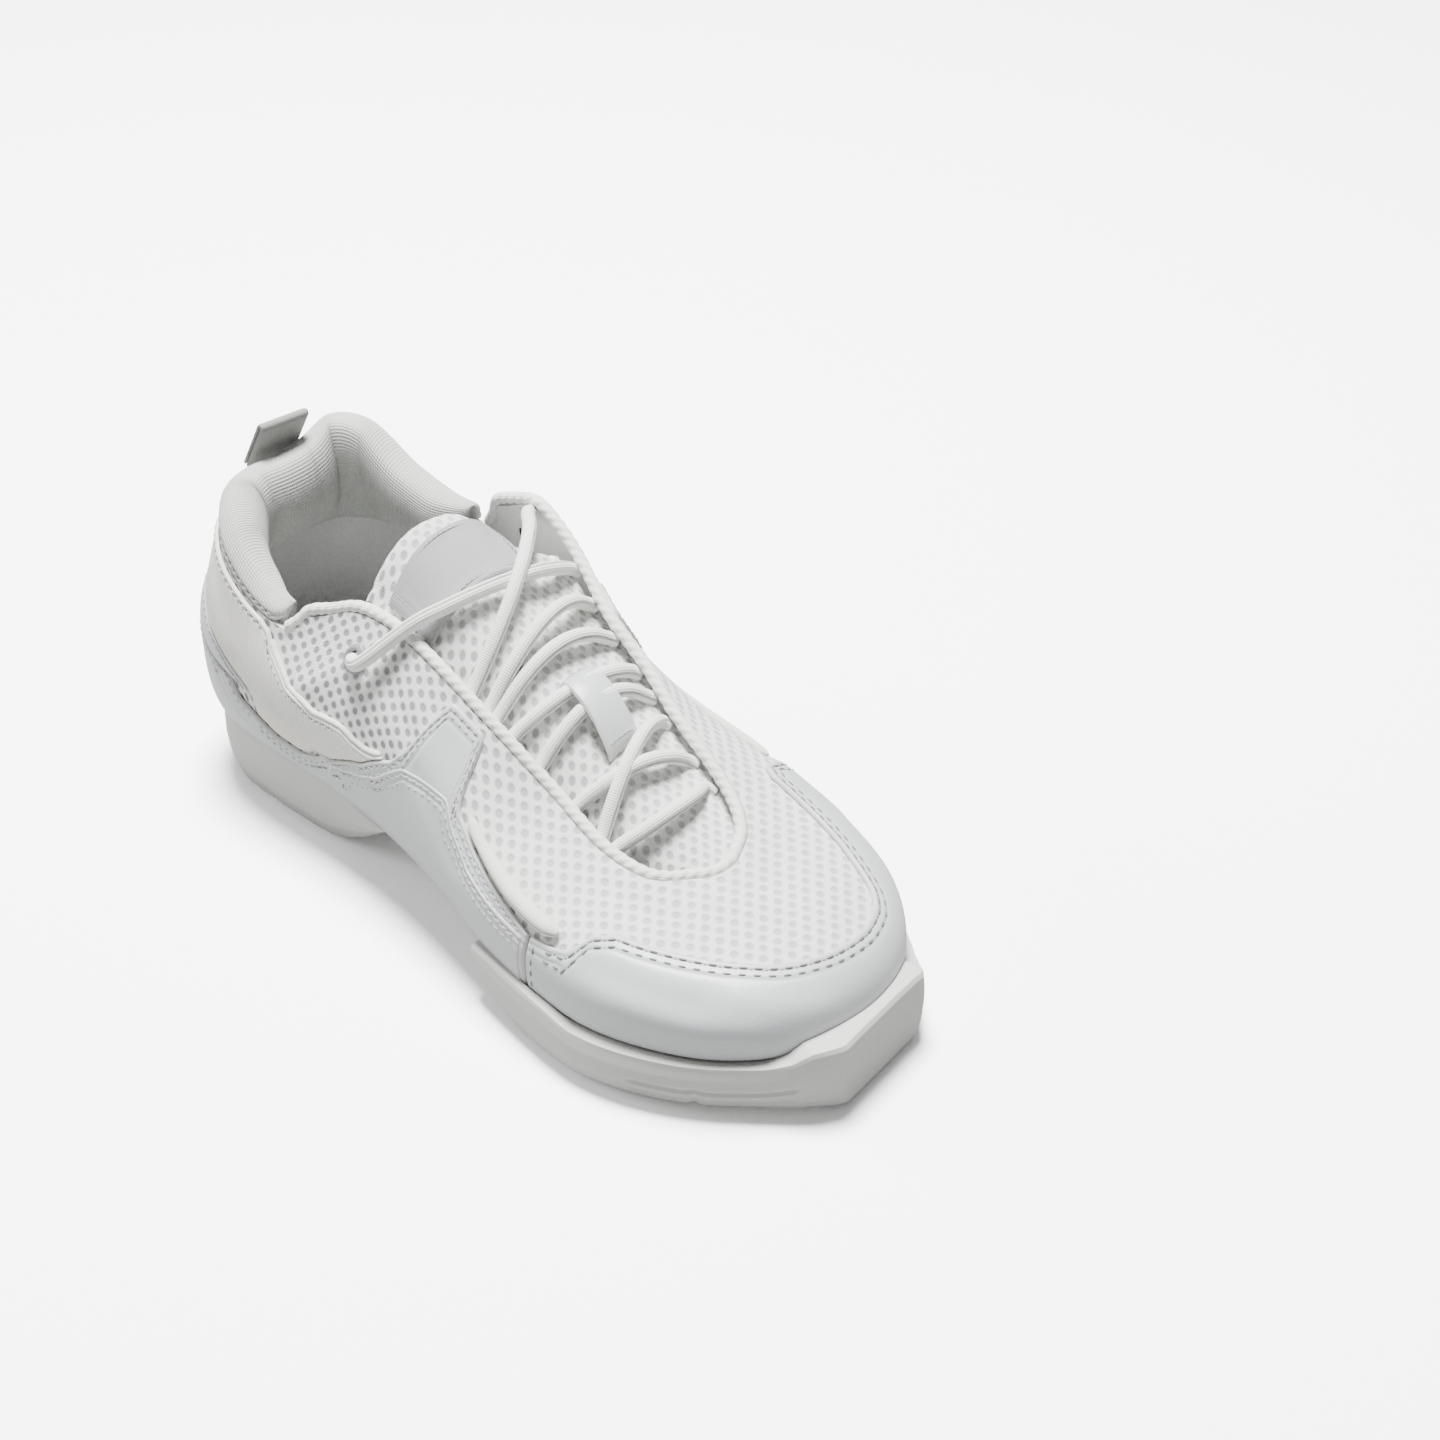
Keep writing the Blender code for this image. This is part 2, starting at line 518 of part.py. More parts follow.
def tongue_top(x, y):
    """Height of the tongue's upper face."""
    rows = np.array(TONGUE_ROWS)[::-1] * LENGTH
    rise, half, drop = (np.interp(x, rows[:, 0], rows[:, k]) for k in (1, 2, 3))
    return rise - drop * (np.abs(y - TONGUE_MIDDLE) / half) ** 2.4


def build_tongue(finish, label_finish, strap_finish):
    rings = []
    for along, rise, half, drop in TONGUE_ROWS:
        x0, half = along * LENGTH, half * LENGTH
        w = np.array((-1.0, -0.92, -0.75, -0.5, -0.2, 0.2, 0.5, 0.75, 0.92, 1.0))
        skew = 0.20 * smooth_step(0.45 * LENGTH, x0, x0 + 0.12 * LENGTH) if along < 0.45 else 0.0
        y = TONGUE_MIDDLE + w * half
        x = x0 + skew * (y - TONGUE_MIDDLE)
        z = tongue_top(x0 + 0.0 * y, y)
        thin = TONGUE * np.array((0.35, 0.7, 0.95, 1.0, 1.0, 1.0, 1.0, 0.95, 0.7, 0.35))
        upper_face = np.stack((x, y, z), axis=-1)
        under_face = np.stack((x, y, z - thin * 1.15), axis=-1)
        rings.append(np.concatenate((upper_face, under_face[::-1])))
    tongue = loft("tongue", rings, finish)
    rings = []
    for x in np.linspace(0.0895, 0.1085, 4):
        y = np.linspace(-0.0195, 0.0175, 8)
        face = np.stack((x + 0.12 * (y - TONGUE_MIDDLE), y, tongue_top(x + 0.0 * y, y) + 0.0010), axis=-1)
        rings.append(np.concatenate((face + (0.0, 0.0, 0.0009), face[::-1])))
    label = loft("tongue_label", rings, label_finish)
    rings = []
    for share in np.linspace(0.0, 1.0, 9):
        x = (0.525 + 0.085 * share) * LENGTH
        lift = 0.0007 + 0.0062 * math.sin(math.pi * share) ** 0.55
        y = np.linspace(-0.0020, 0.0104, 3) - 0.003 * share
        face = np.stack((x + 0.0 * y, y, tongue_top(x + 0.0 * y, y) + lift), axis=-1)
        rings.append(np.concatenate((face + (0.0, 0.0, 0.0011), face[::-1])))
    return tongue, label, loft("lace_keeper", rings, strap_finish)


def over_tongue(x, y, lift):
    """A point this far above the tongue's upper face."""
    step = 0.0005
    slope_x = (tongue_top(x + step, y) - tongue_top(x - step, y)) / (2.0 * step)
    slope_y = (tongue_top(x, y + step) - tongue_top(x, y - step)) / (2.0 * step)
    return np.array((x, y, tongue_top(x, y) + lift * math.sqrt(1.0 + slope_x**2 + slope_y**2)))


def edge_point(u):
    """Middle of the piping on the throat's edge."""
    edge = skin(u, 1.0, -0.5 * WALL)
    rise = edge - skin(u, 0.97, -0.5 * WALL)
    return edge + rise / np.linalg.norm(rise) * (PIPING + GAP)


def lace_end(u):
    """Where a lace run ends beside the piping, on the throat's inner side."""
    row, widest, way = frame_of(np.asarray(float(u)))
    way = np.array((way[0], way[1], 0.0))
    return edge_point(u) - way * (PIPING + 0.0018 + 1.4 * LACE * abs(way[0])) - (0.0, 0.0, 0.0003)


def lace_path(start, middle, end):
    """One run of lace over the tongue, from the outer edge of the throat to the inner one."""
    lift = LACE + 3.0 * GAP
    x = middle * LENGTH
    last = lace_end(end)
    if start == EYELETS[0][0]:
        v = EYELETS[0][1]
        over = edge_point(start + 0.95) + (0.0, -0.0002, PIPING + LACE + 6.0 * GAP)
        first = [skin(start + 0.06, v, 0.0030), skin(start + 0.35, v + 0.03, 0.0046), over]
        first_x = over[0]
    else:
        first = [lace_end(start)]
        first_x = first[0][0]
    crest = []
    inner = 0.0165 if middle < 0.69 else 0.0115
    for y, extra in ((-0.0135, 0.0010), (-0.0075, 0.0005), (TONGUE_MIDDLE, 0.0), (inner, 0.0004)):
        edge, edge_x = (-0.024, first_x) if y < TONGUE_MIDDLE else (0.030, last[0])
        share = ((y - TONGUE_MIDDLE) / (edge - TONGUE_MIDDLE)) ** 2
        crest.append(over_tongue(x + share * (edge_x - x), y, lift + extra))
    return first + crest + [last]


def build_laces(finish):
    for name, runs in LACES.items():
        pieces = [tube(name, lace_path(*run), LACE, finish, sides=6, steps=2) for run in runs]
        if len(pieces) > 1:
            joined(name, pieces)


# The padded collar's section: v, how far in from the upper's outer face and how far above the edge
COLLAR_SECTION = (
    (0.878, 0.0, 0.0), (0.94, -0.0003, 0.0), (0.985, 0.0006, 0.0), (1.0, 0.0035, 0.0022),
    (1.0, 0.0075, 0.0026), (1.0, 0.0115, 0.0008), (0.93, 0.0140, 0.0), (0.82, 0.0145, 0.0),
    (0.68, 0.0125, 0.0), (0.54, 0.0085, 0.0), (0.44, 0.0050, 0.0), (0.40, 0.0032, 0.0),
    (0.44, 0.0028, 0.0), (0.62, 0.0028, 0.0), (0.80, 0.0028, 0.0), (0.878, 0.0028, 0.0),
)


def build_collar(finish):
    """The padded collar, from where the lacing starts on one side round the heel to the other."""
    rings = []
    first, last = COLLAR_ENDS
    for u in np.linspace(first, last, 26):
        fade = 1.0 - 0.45 * smooth_step(-min(u - first, last - u), -0.9, 0.0)
        ring = []
        for v, inward, rise in COLLAR_SECTION:
            if inward > 0.0025:
                inward = 0.0025 + (inward - 0.0025) * fade
            ring.append(skin(u, v, -inward) + (0.0, 0.0, rise * fade))
        rings.append(ring)
    return loft("collar", rings, finish)


def build_piping(finish, cord_finish):
    """The corded edge round the throat and the cord under each side's mesh."""
    last, first = PIPING_ENDS
    path = [edge_point(u) for u in np.concatenate(([first], np.arange(5.5, last - 0.3, 0.5), [last]))]
    tube("throat_piping", path, PIPING, finish, sides=6, steps=1)
    for name, flip in (("side_cord_lateral", False), ("side_cord_medial", True)):
        path = []
        for u, v, size in CORD:
            path.append(skin(ROUND - u if flip else u, v, LACE * size + GAP))
        tube(name, path, [LACE * row[2] for row in CORD], cord_finish, sides=8, steps=2)


# The pull loop's middle line at the heel: x, z and thickness
PULL_LOOP = (
    (0.0060, 0.1035, 0.0030), (0.0082, 0.1075, 0.0030), (0.0102, 0.1110, 0.0031),
    (0.0120, 0.1140, 0.0034), (0.0130, 0.1155, 0.0022),
)


def build_pull_loop(finish):
    """A folded loop of webbing that stands on the collar at the back of the heel."""
    rings = []
    for x, z, thick in PULL_LOOP:
        y = np.array((-0.0045, 0.0125))
        way = np.array((0.88, -0.47)) * 0.5 * thick
        front = np.stack((x + way[0] + 0.0 * y + 0.12 * y, y, z + way[1] + 0.0 * y), axis=-1)
        back = np.stack((x - way[0] + 0.0 * y + 0.12 * y, y, z - way[1] + 0.0 * y), axis=-1)
        rings.append(np.concatenate((front, back[::-1])))
    return loft("pull_loop", rings, finish)


def centred():
    """Moves every piece so that the origin is under the middle of the shoe's box. It gives the move."""
    meshes = [obj.data for obj in bpy.data.objects]
    points = []
    for mesh in meshes:
        own = np.empty(len(mesh.vertices) * 3, np.float32)
        mesh.vertices.foreach_get("co", own)
        points.append(own.reshape(-1, 3))
    every = np.concatenate(points)
    low, high = every.min(axis=0), every.max(axis=0)
    move = -np.array((0.5 * (low[0] + high[0]), 0.5 * (low[1] + high[1]), low[2]))
    for mesh, own in zip(meshes, points):
        mesh.vertices.foreach_set("co", (own + move).astype(np.float32).ravel())
        mesh.update()
    return move


def main():
    for old in list(bpy.data.objects):
        bpy.data.objects.remove(old, do_unlink=True)
    cloth = material("white mesh", (0.82, 0.82, 0.80), 0.85)
    smooth = material("smooth white coated leather", (0.86, 0.87, 0.88), 0.45)
    ribbed = material("cream ribbed leather", (0.84, 0.82, 0.76), 0.6)
    knit = material("knitted lining", (0.80, 0.80, 0.78), 0.9)
    rubber = material("white rubber", (0.85, 0.85, 0.83), 0.55)
    cord = material("off-white cord", (0.86, 0.86, 0.82), 0.8)
    satin = material("grey satin", (0.62, 0.63, 0.64), 0.5)
    foam = material("grey foam", (0.55, 0.55, 0.54), 0.9)

    build_unit("heel_sole", HEEL_UNIT, False, rubber)
    build_unit("forefoot_sole", FORE_UNIT, True, rubber)
    build_upper(cloth)
    build_plates(foam, smooth)
    stations = between(SIDE_EDGE, 0.5)
    lines = (0.0, 0.08, 0.12, 0.16, 0.26, 0.39, 0.52, 0.65, 0.78, 1.0)
    face = (0.0, 0.10, 0.16, 0.36, 0.65, 1.0)
    low = foot_v(stations, 0.0014)
    panel("side_panel", stations, low, columns(SIDE_EDGE, stations)[0], smooth, lines, face)
    stations = between(CAP_EDGE, 0.5)
    lines = (0.0, 0.12, 0.16, 0.26, 0.39, 0.52, 1.0)
    face = (0.0, 0.14, 0.26, 0.45, 1.0)
    low = foot_v(stations, 0.0014)
    panel("toe_cap", stations, low, columns(CAP_EDGE, stations)[0], smooth, lines, face)
    stations = between(BAND_EDGE, 0.5)
    low = columns(SIDE_EDGE, stations)[0] + 0.012
    high = np.maximum(columns(BAND_EDGE, stations)[0], low + 0.016)
    panel("heel_band", stations, low, high, smooth, (0.0, 0.26, 0.39, 1.0))
    stations = between(RIB_EDGE, 0.5)
    low = columns(SIDE_EDGE, stations)[0] + 0.012
    inside = np.abs(stations) < 4.15
    low = np.where(inside, np.maximum(columns(BAND_EDGE, stations)[0], low + 0.02) + 0.014, low)
    high = columns(RIB_EDGE, stations)[0]
    panel("quarter_panel", stations, low, high, ribbed, (0.0, 0.16, 0.39, 0.65, 1.0))
    build_collar(knit)
    build_piping(cord, cord)
    for name, (u, v) in zip(("eyelet_lateral", "eyelet_medial"), EYELETS):
        build_eyelet(name, u, v, satin)
    build_tongue(cloth, satin, smooth)
    build_laces(cord)
    build_pull_loop(satin)
    return centred()


SHIFT = main()
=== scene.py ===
"""Looks of the white split-sole dance sneaker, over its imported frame.

Sizes are in metres. x runs from the heel to the toe, y towards the inner side and z up. The last's
functions and tables are those of the part's source, so each piece lies where its solid does.
"""

import math

import bmesh
import bpy
import numpy as np
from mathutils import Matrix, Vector


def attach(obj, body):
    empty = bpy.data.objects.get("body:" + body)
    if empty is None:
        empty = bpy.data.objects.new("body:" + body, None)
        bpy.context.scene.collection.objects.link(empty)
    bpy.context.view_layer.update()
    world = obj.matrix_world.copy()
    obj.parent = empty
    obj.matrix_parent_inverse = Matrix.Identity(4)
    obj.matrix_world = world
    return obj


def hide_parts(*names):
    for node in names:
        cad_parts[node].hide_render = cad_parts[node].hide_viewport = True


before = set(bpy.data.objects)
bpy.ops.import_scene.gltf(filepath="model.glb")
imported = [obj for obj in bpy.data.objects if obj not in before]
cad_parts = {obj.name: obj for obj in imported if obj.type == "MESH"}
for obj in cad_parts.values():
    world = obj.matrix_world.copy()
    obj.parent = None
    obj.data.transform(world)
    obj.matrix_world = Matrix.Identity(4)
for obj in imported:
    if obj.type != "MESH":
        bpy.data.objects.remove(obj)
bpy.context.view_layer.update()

# Driving sizes of the last
LENGTH = 0.268
LATERAL = 0.054
MEDIAL = 0.050
COLLAR_HEIGHT = 0.100
HEEL_BED = 0.0255
BALL_BED = 0.0168
TOE_RISE = 0.0022
GAP = 0.0003
WALL = 0.0022
OVERLAY = 0.0012
INSOLE = 0.0028
TONGUE = 0.0048
PIPING = 0.0017
LACE = 0.0020
LACE_RADIUS = 0.0022  # of the dressed lace, which swells a little over its solid
SHIFT = np.array((-0.129119, 0.003105, 0.0))  # the part's origin lies under the middle of its box
UV_METRES = 0.5  # how many metres one unit of a UV map spans

# The last, in sections round the shoe: heel, outer side, toe, inner side
LAST_COLUMNS = ("along", "across", "turn", "bulge", "tuck", "top", "inset", "lean", "crown")
LAST = (
    (-0.018, 0.00, 180.0, 0.50, 0.17, 1.000, 0.220, 98, 0.45),
    (-0.011, -0.30, 200.0, 0.50, 0.17, 1.005, 0.210, 96, 0.45),
    (0.019, -0.54, 228.0, 0.50, 0.17, 0.995, 0.180, 92, 0.45),
    (0.078, -0.70, 250.0, 0.50, 0.17, 0.920, 0.150, 86, 0.45),
    (0.149, -0.74, 263.0, 0.48, 0.17, 0.800, 0.150, 80, 0.45),
    (0.216, -0.74, 269.0, 0.44, 0.18, 0.775, 0.220, 70, 0.50),
    (0.284, -0.73, 271.0, 0.40, 0.22, 0.850, 0.280, 64, 0.55),
    (0.351, -0.74, 271.0, 0.37, 0.33, 0.855, 0.300, 60, 0.55),
    (0.425, -0.78, 270.0, 0.34, 0.40, 0.805, 0.320, 54, 0.55),
    (0.500, -0.85, 268.0, 0.32, 0.38, 0.705, 0.400, 46, 0.60),
    (0.582, -0.94, 268.0, 0.30, 0.18, 0.580, 0.520, 36, 0.60),
    (0.664, -0.99, 271.0, 0.28, 0.08, 0.505, 0.545, 28, 0.62),
    (0.746, -1.00, 280.5, 0.26, 0.065, 0.475, 0.610, 20, 0.65),
    (0.821, -0.90, 297.6, 0.25, 0.065, 0.470, 0.720, 19, 0.68),
    (0.888, -0.71, 315.9, 0.24, 0.065, 0.470, 0.810, 18, 0.70),
    (0.937, -0.44, 335.1, 0.24, 0.065, 0.473, 0.880, 18, 0.72),
    (0.957, -0.09, 354.1, 0.24, 0.065, 0.480, 0.900, 18, 0.72),
    (0.951, 0.26, 369.4, 0.24, 0.065, 0.488, 0.910, 18, 0.70),
    (0.922, 0.56, 381.1, 0.25, 0.065, 0.500, 0.875, 19, 0.68),
    (0.869, 0.80, 393.7, 0.26, 0.065, 0.520, 0.800, 22, 0.66),
    (0.799, 0.94, 406.0, 0.27, 0.065, 0.550, 0.695, 26, 0.64),
    (0.724, 1.00, 418.3, 0.28, 0.08, 0.600, 0.600, 32, 0.62),
    (0.646, 0.98, 427.4, 0.30, 0.14, 0.655, 0.480, 42, 0.60),
    (0.567, 0.90, 433.6, 0.32, 0.32, 0.730, 0.310, 54, 0.60),
    (0.489, 0.84, 439.7, 0.34, 0.40, 0.820, 0.200, 62, 0.60),
    (0.414, 0.82, 442.4, 0.37, 0.34, 0.915, 0.070, 72, 0.60),
    (0.343, 0.80, 445.0, 0.40, 0.26, 1.010, 0.020, 78, 0.55),
    (0.280, 0.81, 448.0, 0.44, 0.19, 0.950, 0.030, 80, 0.50),
    (0.216, 0.82, 451.0, 0.46, 0.18, 0.905, 0.040, 82, 0.45),
    (0.149, 0.81, 457.0, 0.48, 0.17, 0.960, 0.080, 84, 0.45),
    (0.078, 0.76, 470.0, 0.50, 0.17, 1.075, 0.120, 88, 0.45),
    (0.019, 0.59, 492.0, 0.50, 0.17, 1.080, 0.160, 92, 0.45),
    (-0.011, 0.31, 520.0, 0.50, 0.17, 1.020, 0.205, 96, 0.45),
)
ROUND = len(LAST)
FOOT_SHARE = 0.16
FOOT_CORNER = 0.6
RIM = ((-9.0, 1.0), (-5.9, 1.0), (-5.5, 0.865), (4.6, 0.865), (4.95, 1.0), (9.0, 1.0))
COLLAR_ENDS = (-5.44, 4.56)
PIPING_ENDS = (ROUND - 5.92, 5.02)


def mirrored(table):
    """A table of the outer side, with its second half on the inner side."""
    return tuple(sorted([(-row[0], *row[1:]) for row in table if row[0] > 0.0] + list(table)))


SOLE_LIP = OVERLAY + 1.7 * GAP  # from the upper's wall to the lip that stands round it
# Top edge of the smooth panel that runs round the heel, under the arch and up to the lace straps
SIDE_EDGE = mirrored((
    (0.0, 0.30), (1.0, 0.29), (2.0, 0.25), (3.0, 0.19), (3.75, 0.15), (4.75, 0.135), (5.35, 0.14),
    (6.15, 0.17), (7.0, 0.28), (7.7, 0.44), (7.95, 0.57), (8.1, 0.71), (8.25, 0.87), (8.38, 0.97),
    (8.98, 0.97), (9.04, 0.87), (9.1, 0.70), (9.2, 0.56), (9.65, 0.47), (10.05, 0.425), (10.55, 0.385),
    (10.98, 0.345),
))
# Top edge of the stiffened band above it at the heel
BAND_EDGE = mirrored(((0.0, 0.52), (1.0, 0.51), (2.0, 0.45), (3.2, 0.33), (3.6, 0.25), (4.1, 0.18)))
# Top edge of the ribbed panel from the collar down to a point at the lace strap
RIB_EDGE = mirrored((
    (0.0, 0.855), (4.1, 0.845), (4.35, 0.79), (4.5, 0.66), (5.05, 0.43), (5.7, 0.335), (6.75, 0.37),
    (7.5, 0.49),
))
CAP_EDGE = (
    (11.02, 0.35), (11.4, 0.39), (11.65, 0.44), (11.85, 0.60), (12.2, 0.655), (12.8, 0.635), (13.7, 0.61),
    (14.55, 0.58), (15.3, 0.54), (16.0, 0.505), (17.0, 0.47), (17.65, 0.465), (18.0, 0.49), (18.55, 0.57),
    (19.2, 0.64), (19.95, 0.70), (20.55, 0.74), (20.9, 0.72), (21.15, 0.60), (21.4, 0.46), (21.65, 0.41),
    (21.96, 0.37),
)
# The cord along the lower edge of each side's mesh: u, v, radius as a share of LACE
CORD = (
    (9.38, 0.60, 0.60), (9.65, 0.545, 0.70), (10.15, 0.50, 0.95), (10.6, 0.475, 1.05),
    (11.1, 0.465, 1.05), (11.4, 0.475, 0.85),
)

# The two sole units, in rows from one end to the other. s: u on the outer side. out and inner: how far
# the wall stands out from the last's widest line on the outer and the inner side. under: how far its foot
# lies inside it. ground and rim: heights of its foot and of its top edge. All shares of HEEL_BED.
HEEL_UNIT = (
    (7.12, -0.14, -0.14, 0.12, 0.76, 0.80), (6.85, -0.12, -0.12, 0.16, 0.59, 0.80),
    (6.4, -0.10, -0.10, 0.20, 0.34, 0.86), (6.0, -0.10, -0.10, 0.22, 0.16, 0.92),
    (5.7, -0.10, -0.10, 0.23, 0.04, 0.96), (5.45, -0.09, -0.09, 0.23, 0.0, 0.98),
    (4.8, -0.09, -0.09, 0.23, 0.0, 0.99), (4.0, -0.09, -0.09, 0.22, 0.0, 0.99),
    (3.3, -0.09, -0.09, 0.20, 0.0, 0.99), (2.6, -0.08, -0.08, 0.18, 0.0, 0.99),
    (2.0, -0.08, -0.08, 0.18, 0.0, 0.99), (1.4, -0.08, -0.08, 0.18, 0.0, 0.99),
    (0.9, -0.08, -0.08, 0.18, 0.01, 0.99), (0.5, -0.08, -0.08, 0.18, 0.02, 0.99),
    (0.15, -0.08, -0.08, 0.18, 0.03, 0.99),
)
FORE_UNIT = (
    (9.9, 0.14, 0.14, 0.10, 0.36, 0.76), (10.1, 0.15, 0.15, 0.14, 0.22, 0.765),
    (10.4, 0.16, 0.16, 0.17, 0.10, 0.765), (10.75, 0.175, 0.16, 0.19, 0.02, 0.765),
    (11.0, 0.19, 0.16, 0.21, 0.0, 0.765), (11.5, 0.21, 0.16, 0.24, 0.0, 0.75),
    (11.9, 0.225, 0.16, 0.26, 0.0, 0.69), (12.3, 0.23, 0.16, 0.30, 0.0, 0.69),
    (12.7, 0.225, 0.16, 0.33, 0.0, 0.69), (12.85, 0.22, 0.16, 0.34, 0.0, 0.69),
    (13.4, 0.21, 0.17, 0.35, 0.0, 0.69), (13.56, 0.205, 0.17, 0.35, 0.0, 0.69),
    (13.66, 0.20, 0.17, 0.35, 0.06, 0.69), (13.76, 0.20, 0.17, 0.35, 0.0, 0.69),
    (14.2, 0.20, 0.19, 0.34, 0.01, 0.70), (14.6, 0.23, 0.23, 0.29, 0.03, 0.72),
    (14.9, 0.29, 0.28, 0.23, 0.05, 0.80), (15.0, 0.31, 0.30, 0.20, 0.055, 0.86),
    (15.15, 0.34, 0.33, 0.17, 0.06, 0.93), (15.5, 0.40, 0.40, 0.09, 0.04, 0.96),
    (15.9, 0.42, 0.42, 0.05, 0.03, 0.97), (16.32, 0.42, 0.42, 0.04, 0.03, 0.97),
)
# The flat face at the very front of the toe bumper: its outward direction and how far out it lies
FACE_TURN = math.radians(6.1)
FACE_OUT = 0.9757 * LENGTH
# The wall's points between its foot and its rim: height, how far it lies inside the widest one, and
# whether it is the bottom of one of the grooves along the forefoot's outer side
HEEL_WALL = ((0.08, 0.45, 0), (0.30, 0.12, 0), (0.52, 0.0, 0), (0.74, 0.03, 0), (0.94, 0.14, 0))
FORE_WALL = (
    (0.08, 0.45, 0), (0.22, 0.18, 0), (0.29, 0.12, 1), (0.36, 0.08, 0), (0.46, 0.02, 0),
    (0.53, 0.0, 1), (0.60, 0.0, 0), (0.76, 0.03, 0), (0.94, 0.14, 0),
)
GROOVED = (12.8, 14.95)  # s from and to which those grooves run
GROOVE = 0.0009  # their depth

# Section of the eyelets' rings: radius and how far out of the upper
EYELET_SECTION = ((0.0027, 0.0003), (0.0045, 0.0003), (0.0045, 0.0009), (0.0038, 0.0014), (0.0030, 0.0013))
# The padded collar's section: v, how far in from the upper's outer face and how far above the edge
COLLAR_SECTION = (
    (0.878, 0.0, 0.0), (0.94, -0.0003, 0.0), (0.985, 0.0006, 0.0), (1.0, 0.0035, 0.0022),
    (1.0, 0.0075, 0.0026), (1.0, 0.0115, 0.0008), (0.93, 0.0140, 0.0), (0.82, 0.0145, 0.0),
    (0.68, 0.0125, 0.0), (0.54, 0.0085, 0.0), (0.44, 0.0050, 0.0), (0.40, 0.0032, 0.0),
    (0.44, 0.0028, 0.0), (0.62, 0.0028, 0.0), (0.80, 0.0028, 0.0), (0.878, 0.0028, 0.0),
)
# The pull loop's middle line at the heel: x, z and thickness
PULL_LOOP = (
    (0.0060, 0.1035, 0.0030), (0.0082, 0.1075, 0.0030), (0.0102, 0.1110, 0.0031),
    (0.0120, 0.1140, 0.0034), (0.0130, 0.1155, 0.0022),
)
# Top edge of the facing sewn over the side panel at the arch, on the outer side
ARCH_SEAM = (
    (6.06, 0.155), (6.48, 0.18), (6.96, 0.225), (7.42, 0.295), (8.0, 0.475), (8.58, 0.535), (8.98, 0.565),
    (9.24, 0.45), (9.46, 0.405), (9.68, 0.355), (10.16, 0.32), (10.54, 0.31), (10.82, 0.31), (10.9, 0.305),
)
# How far the rows of stitches lie inside each panel's top edge
SIDE_SEAMS = (0.0016, 0.0036)
CAP_SEAMS = (0.0018, 0.0040)
RIB_SEAMS = (0.0016,)
BAND_SEAMS = (0.0016,)
COLLAR_SEAM = 0.915  # the v of the collar's own seam
# How far inside a panel's edges the close rows of its mesh lie
EDGE_ROWS = np.array((0.0, 0.08, 0.2, 0.4, 0.7, 1.05, 1.35, 1.65, 2.0, 2.5, 3.1, 3.5, 3.9, 4.4, 5.2)) * 0.001
# A thread between two needle holes: share of its length, thickness and height
BOW = (
    (0.0, 0.25, -0.10), (0.10, 0.85, 0.35), (0.35, 1.0, 0.65), (0.65, 1.0, 0.65), (0.90, 0.85, 0.35),
    (1.0, 0.25, -0.10),
)
STITCH_SIDES = 6
ROPE_TWIST = 0.0105  # length in which a rope's strands turn once round
LABEL_SIZE = (19.0, 37.0)  # in millimetres, along the tongue and across it
LABEL_CORNER = (0.0895, -0.0195)  # of the label, at the ankle on the outer side
LABEL_SKEW = 0.12
KEEPER_SIZE = (22.8, 12.4)
KEEPER_START = 0.525  # where the strap starts and how far it runs, as shares of LENGTH
KEEPER_RUN = 0.085
KEEPER_SIDE = -0.0020
KEEPER_SLANT = 0.003
KEEPER_RISE = 0.0062  # how far it stands over the laces
LOOP_SIDES = (-0.0045, 0.0125)  # the pull loop's two edges
LOOP_SHEET = 0.00115
LOOP_GAP = 0.00035  # half the room inside its fold
EYELET_HOLE = 0.0033
LACE_CLEAR = 0.0004  # between a lace and the tongue
LACE_OVER = 0.0026  # how much higher a lace runs over another one
CORD_GIRTH = 0.0125  # how much of a woven pattern goes round a cord
TONGUE_EVEN = 0.008  # how far along the tongue its face is evened out
SEAM_CLEAR = 0.00035  # how much higher the facing's seams lie than those of the panel under it

# Soft creases and dents of the upper: from u, v to u, v, width and height, negative for a trough
CREASES = (
    (11.6, 0.86, 13.2, 0.80, 0.0040, -0.0006),
    (13.6, 0.90, 15.2, 0.84, 0.0045, 0.0005),
    (16.6, 0.84, 18.2, 0.90, 0.0045, -0.0006),
    (12.1, 0.42, 13.6, 0.36, 0.0045, -0.0006),
    (12.6, 0.28, 14.4, 0.26, 0.0050, 0.0005),
    (14.3, 0.40, 15.5, 0.30, 0.0045, 0.0005),
    (8.3, 0.52, 9.4, 0.30, 0.0040, -0.0005),
    (7.2, 0.22, 9.2, 0.16, 0.0055, 0.0005),
    (5.3, 0.46, 6.2, 0.70, 0.0050, 0.0006),
    (7.2, 0.80, 7.9, 0.66, 0.0040, -0.0006),
    (1.2, 0.62, 2.6, 0.40, 0.0060, -0.0006),
    (2.6, 0.66, 3.4, 0.42, 0.0060, 0.0005),
    (24.2, 0.62, 25.2, 0.34, 0.0045, -0.0006),
    (22.0, 0.30, 20.4, 0.34, 0.0045, 0.0005),
    (26.8, 0.78, 27.8, 0.50, 0.0050, -0.0006),
)
U_METRES = 0.0185  # what one step of u and of v are on the upper, about
V_METRES = 0.0600


def smooth_step(x, low, high):
    t = np.clip((x - low) / (high - low), 0.0, 1.0)
    return t * t * (3.0 - 2.0 * t)


def unit(vector):
    return vector / np.linalg.norm(vector)


def rolled(off, radius):
    """Share of its full height that a rounded edge has this far inside it."""
    return np.sqrt(1.0 - (1.0 - np.clip(off / radius, 0.0, 1.0)) ** 2)


def run_along(points):
    """Distance of each point along their line."""
    return np.concatenate(([0.0], np.cumsum(np.linalg.norm(np.diff(points, axis=0), axis=1))))


def toned(colour, share):
    """A colour at this share of its brightness, as a shader takes it."""
    return tuple(share * c for c in colour) + (1.0,)


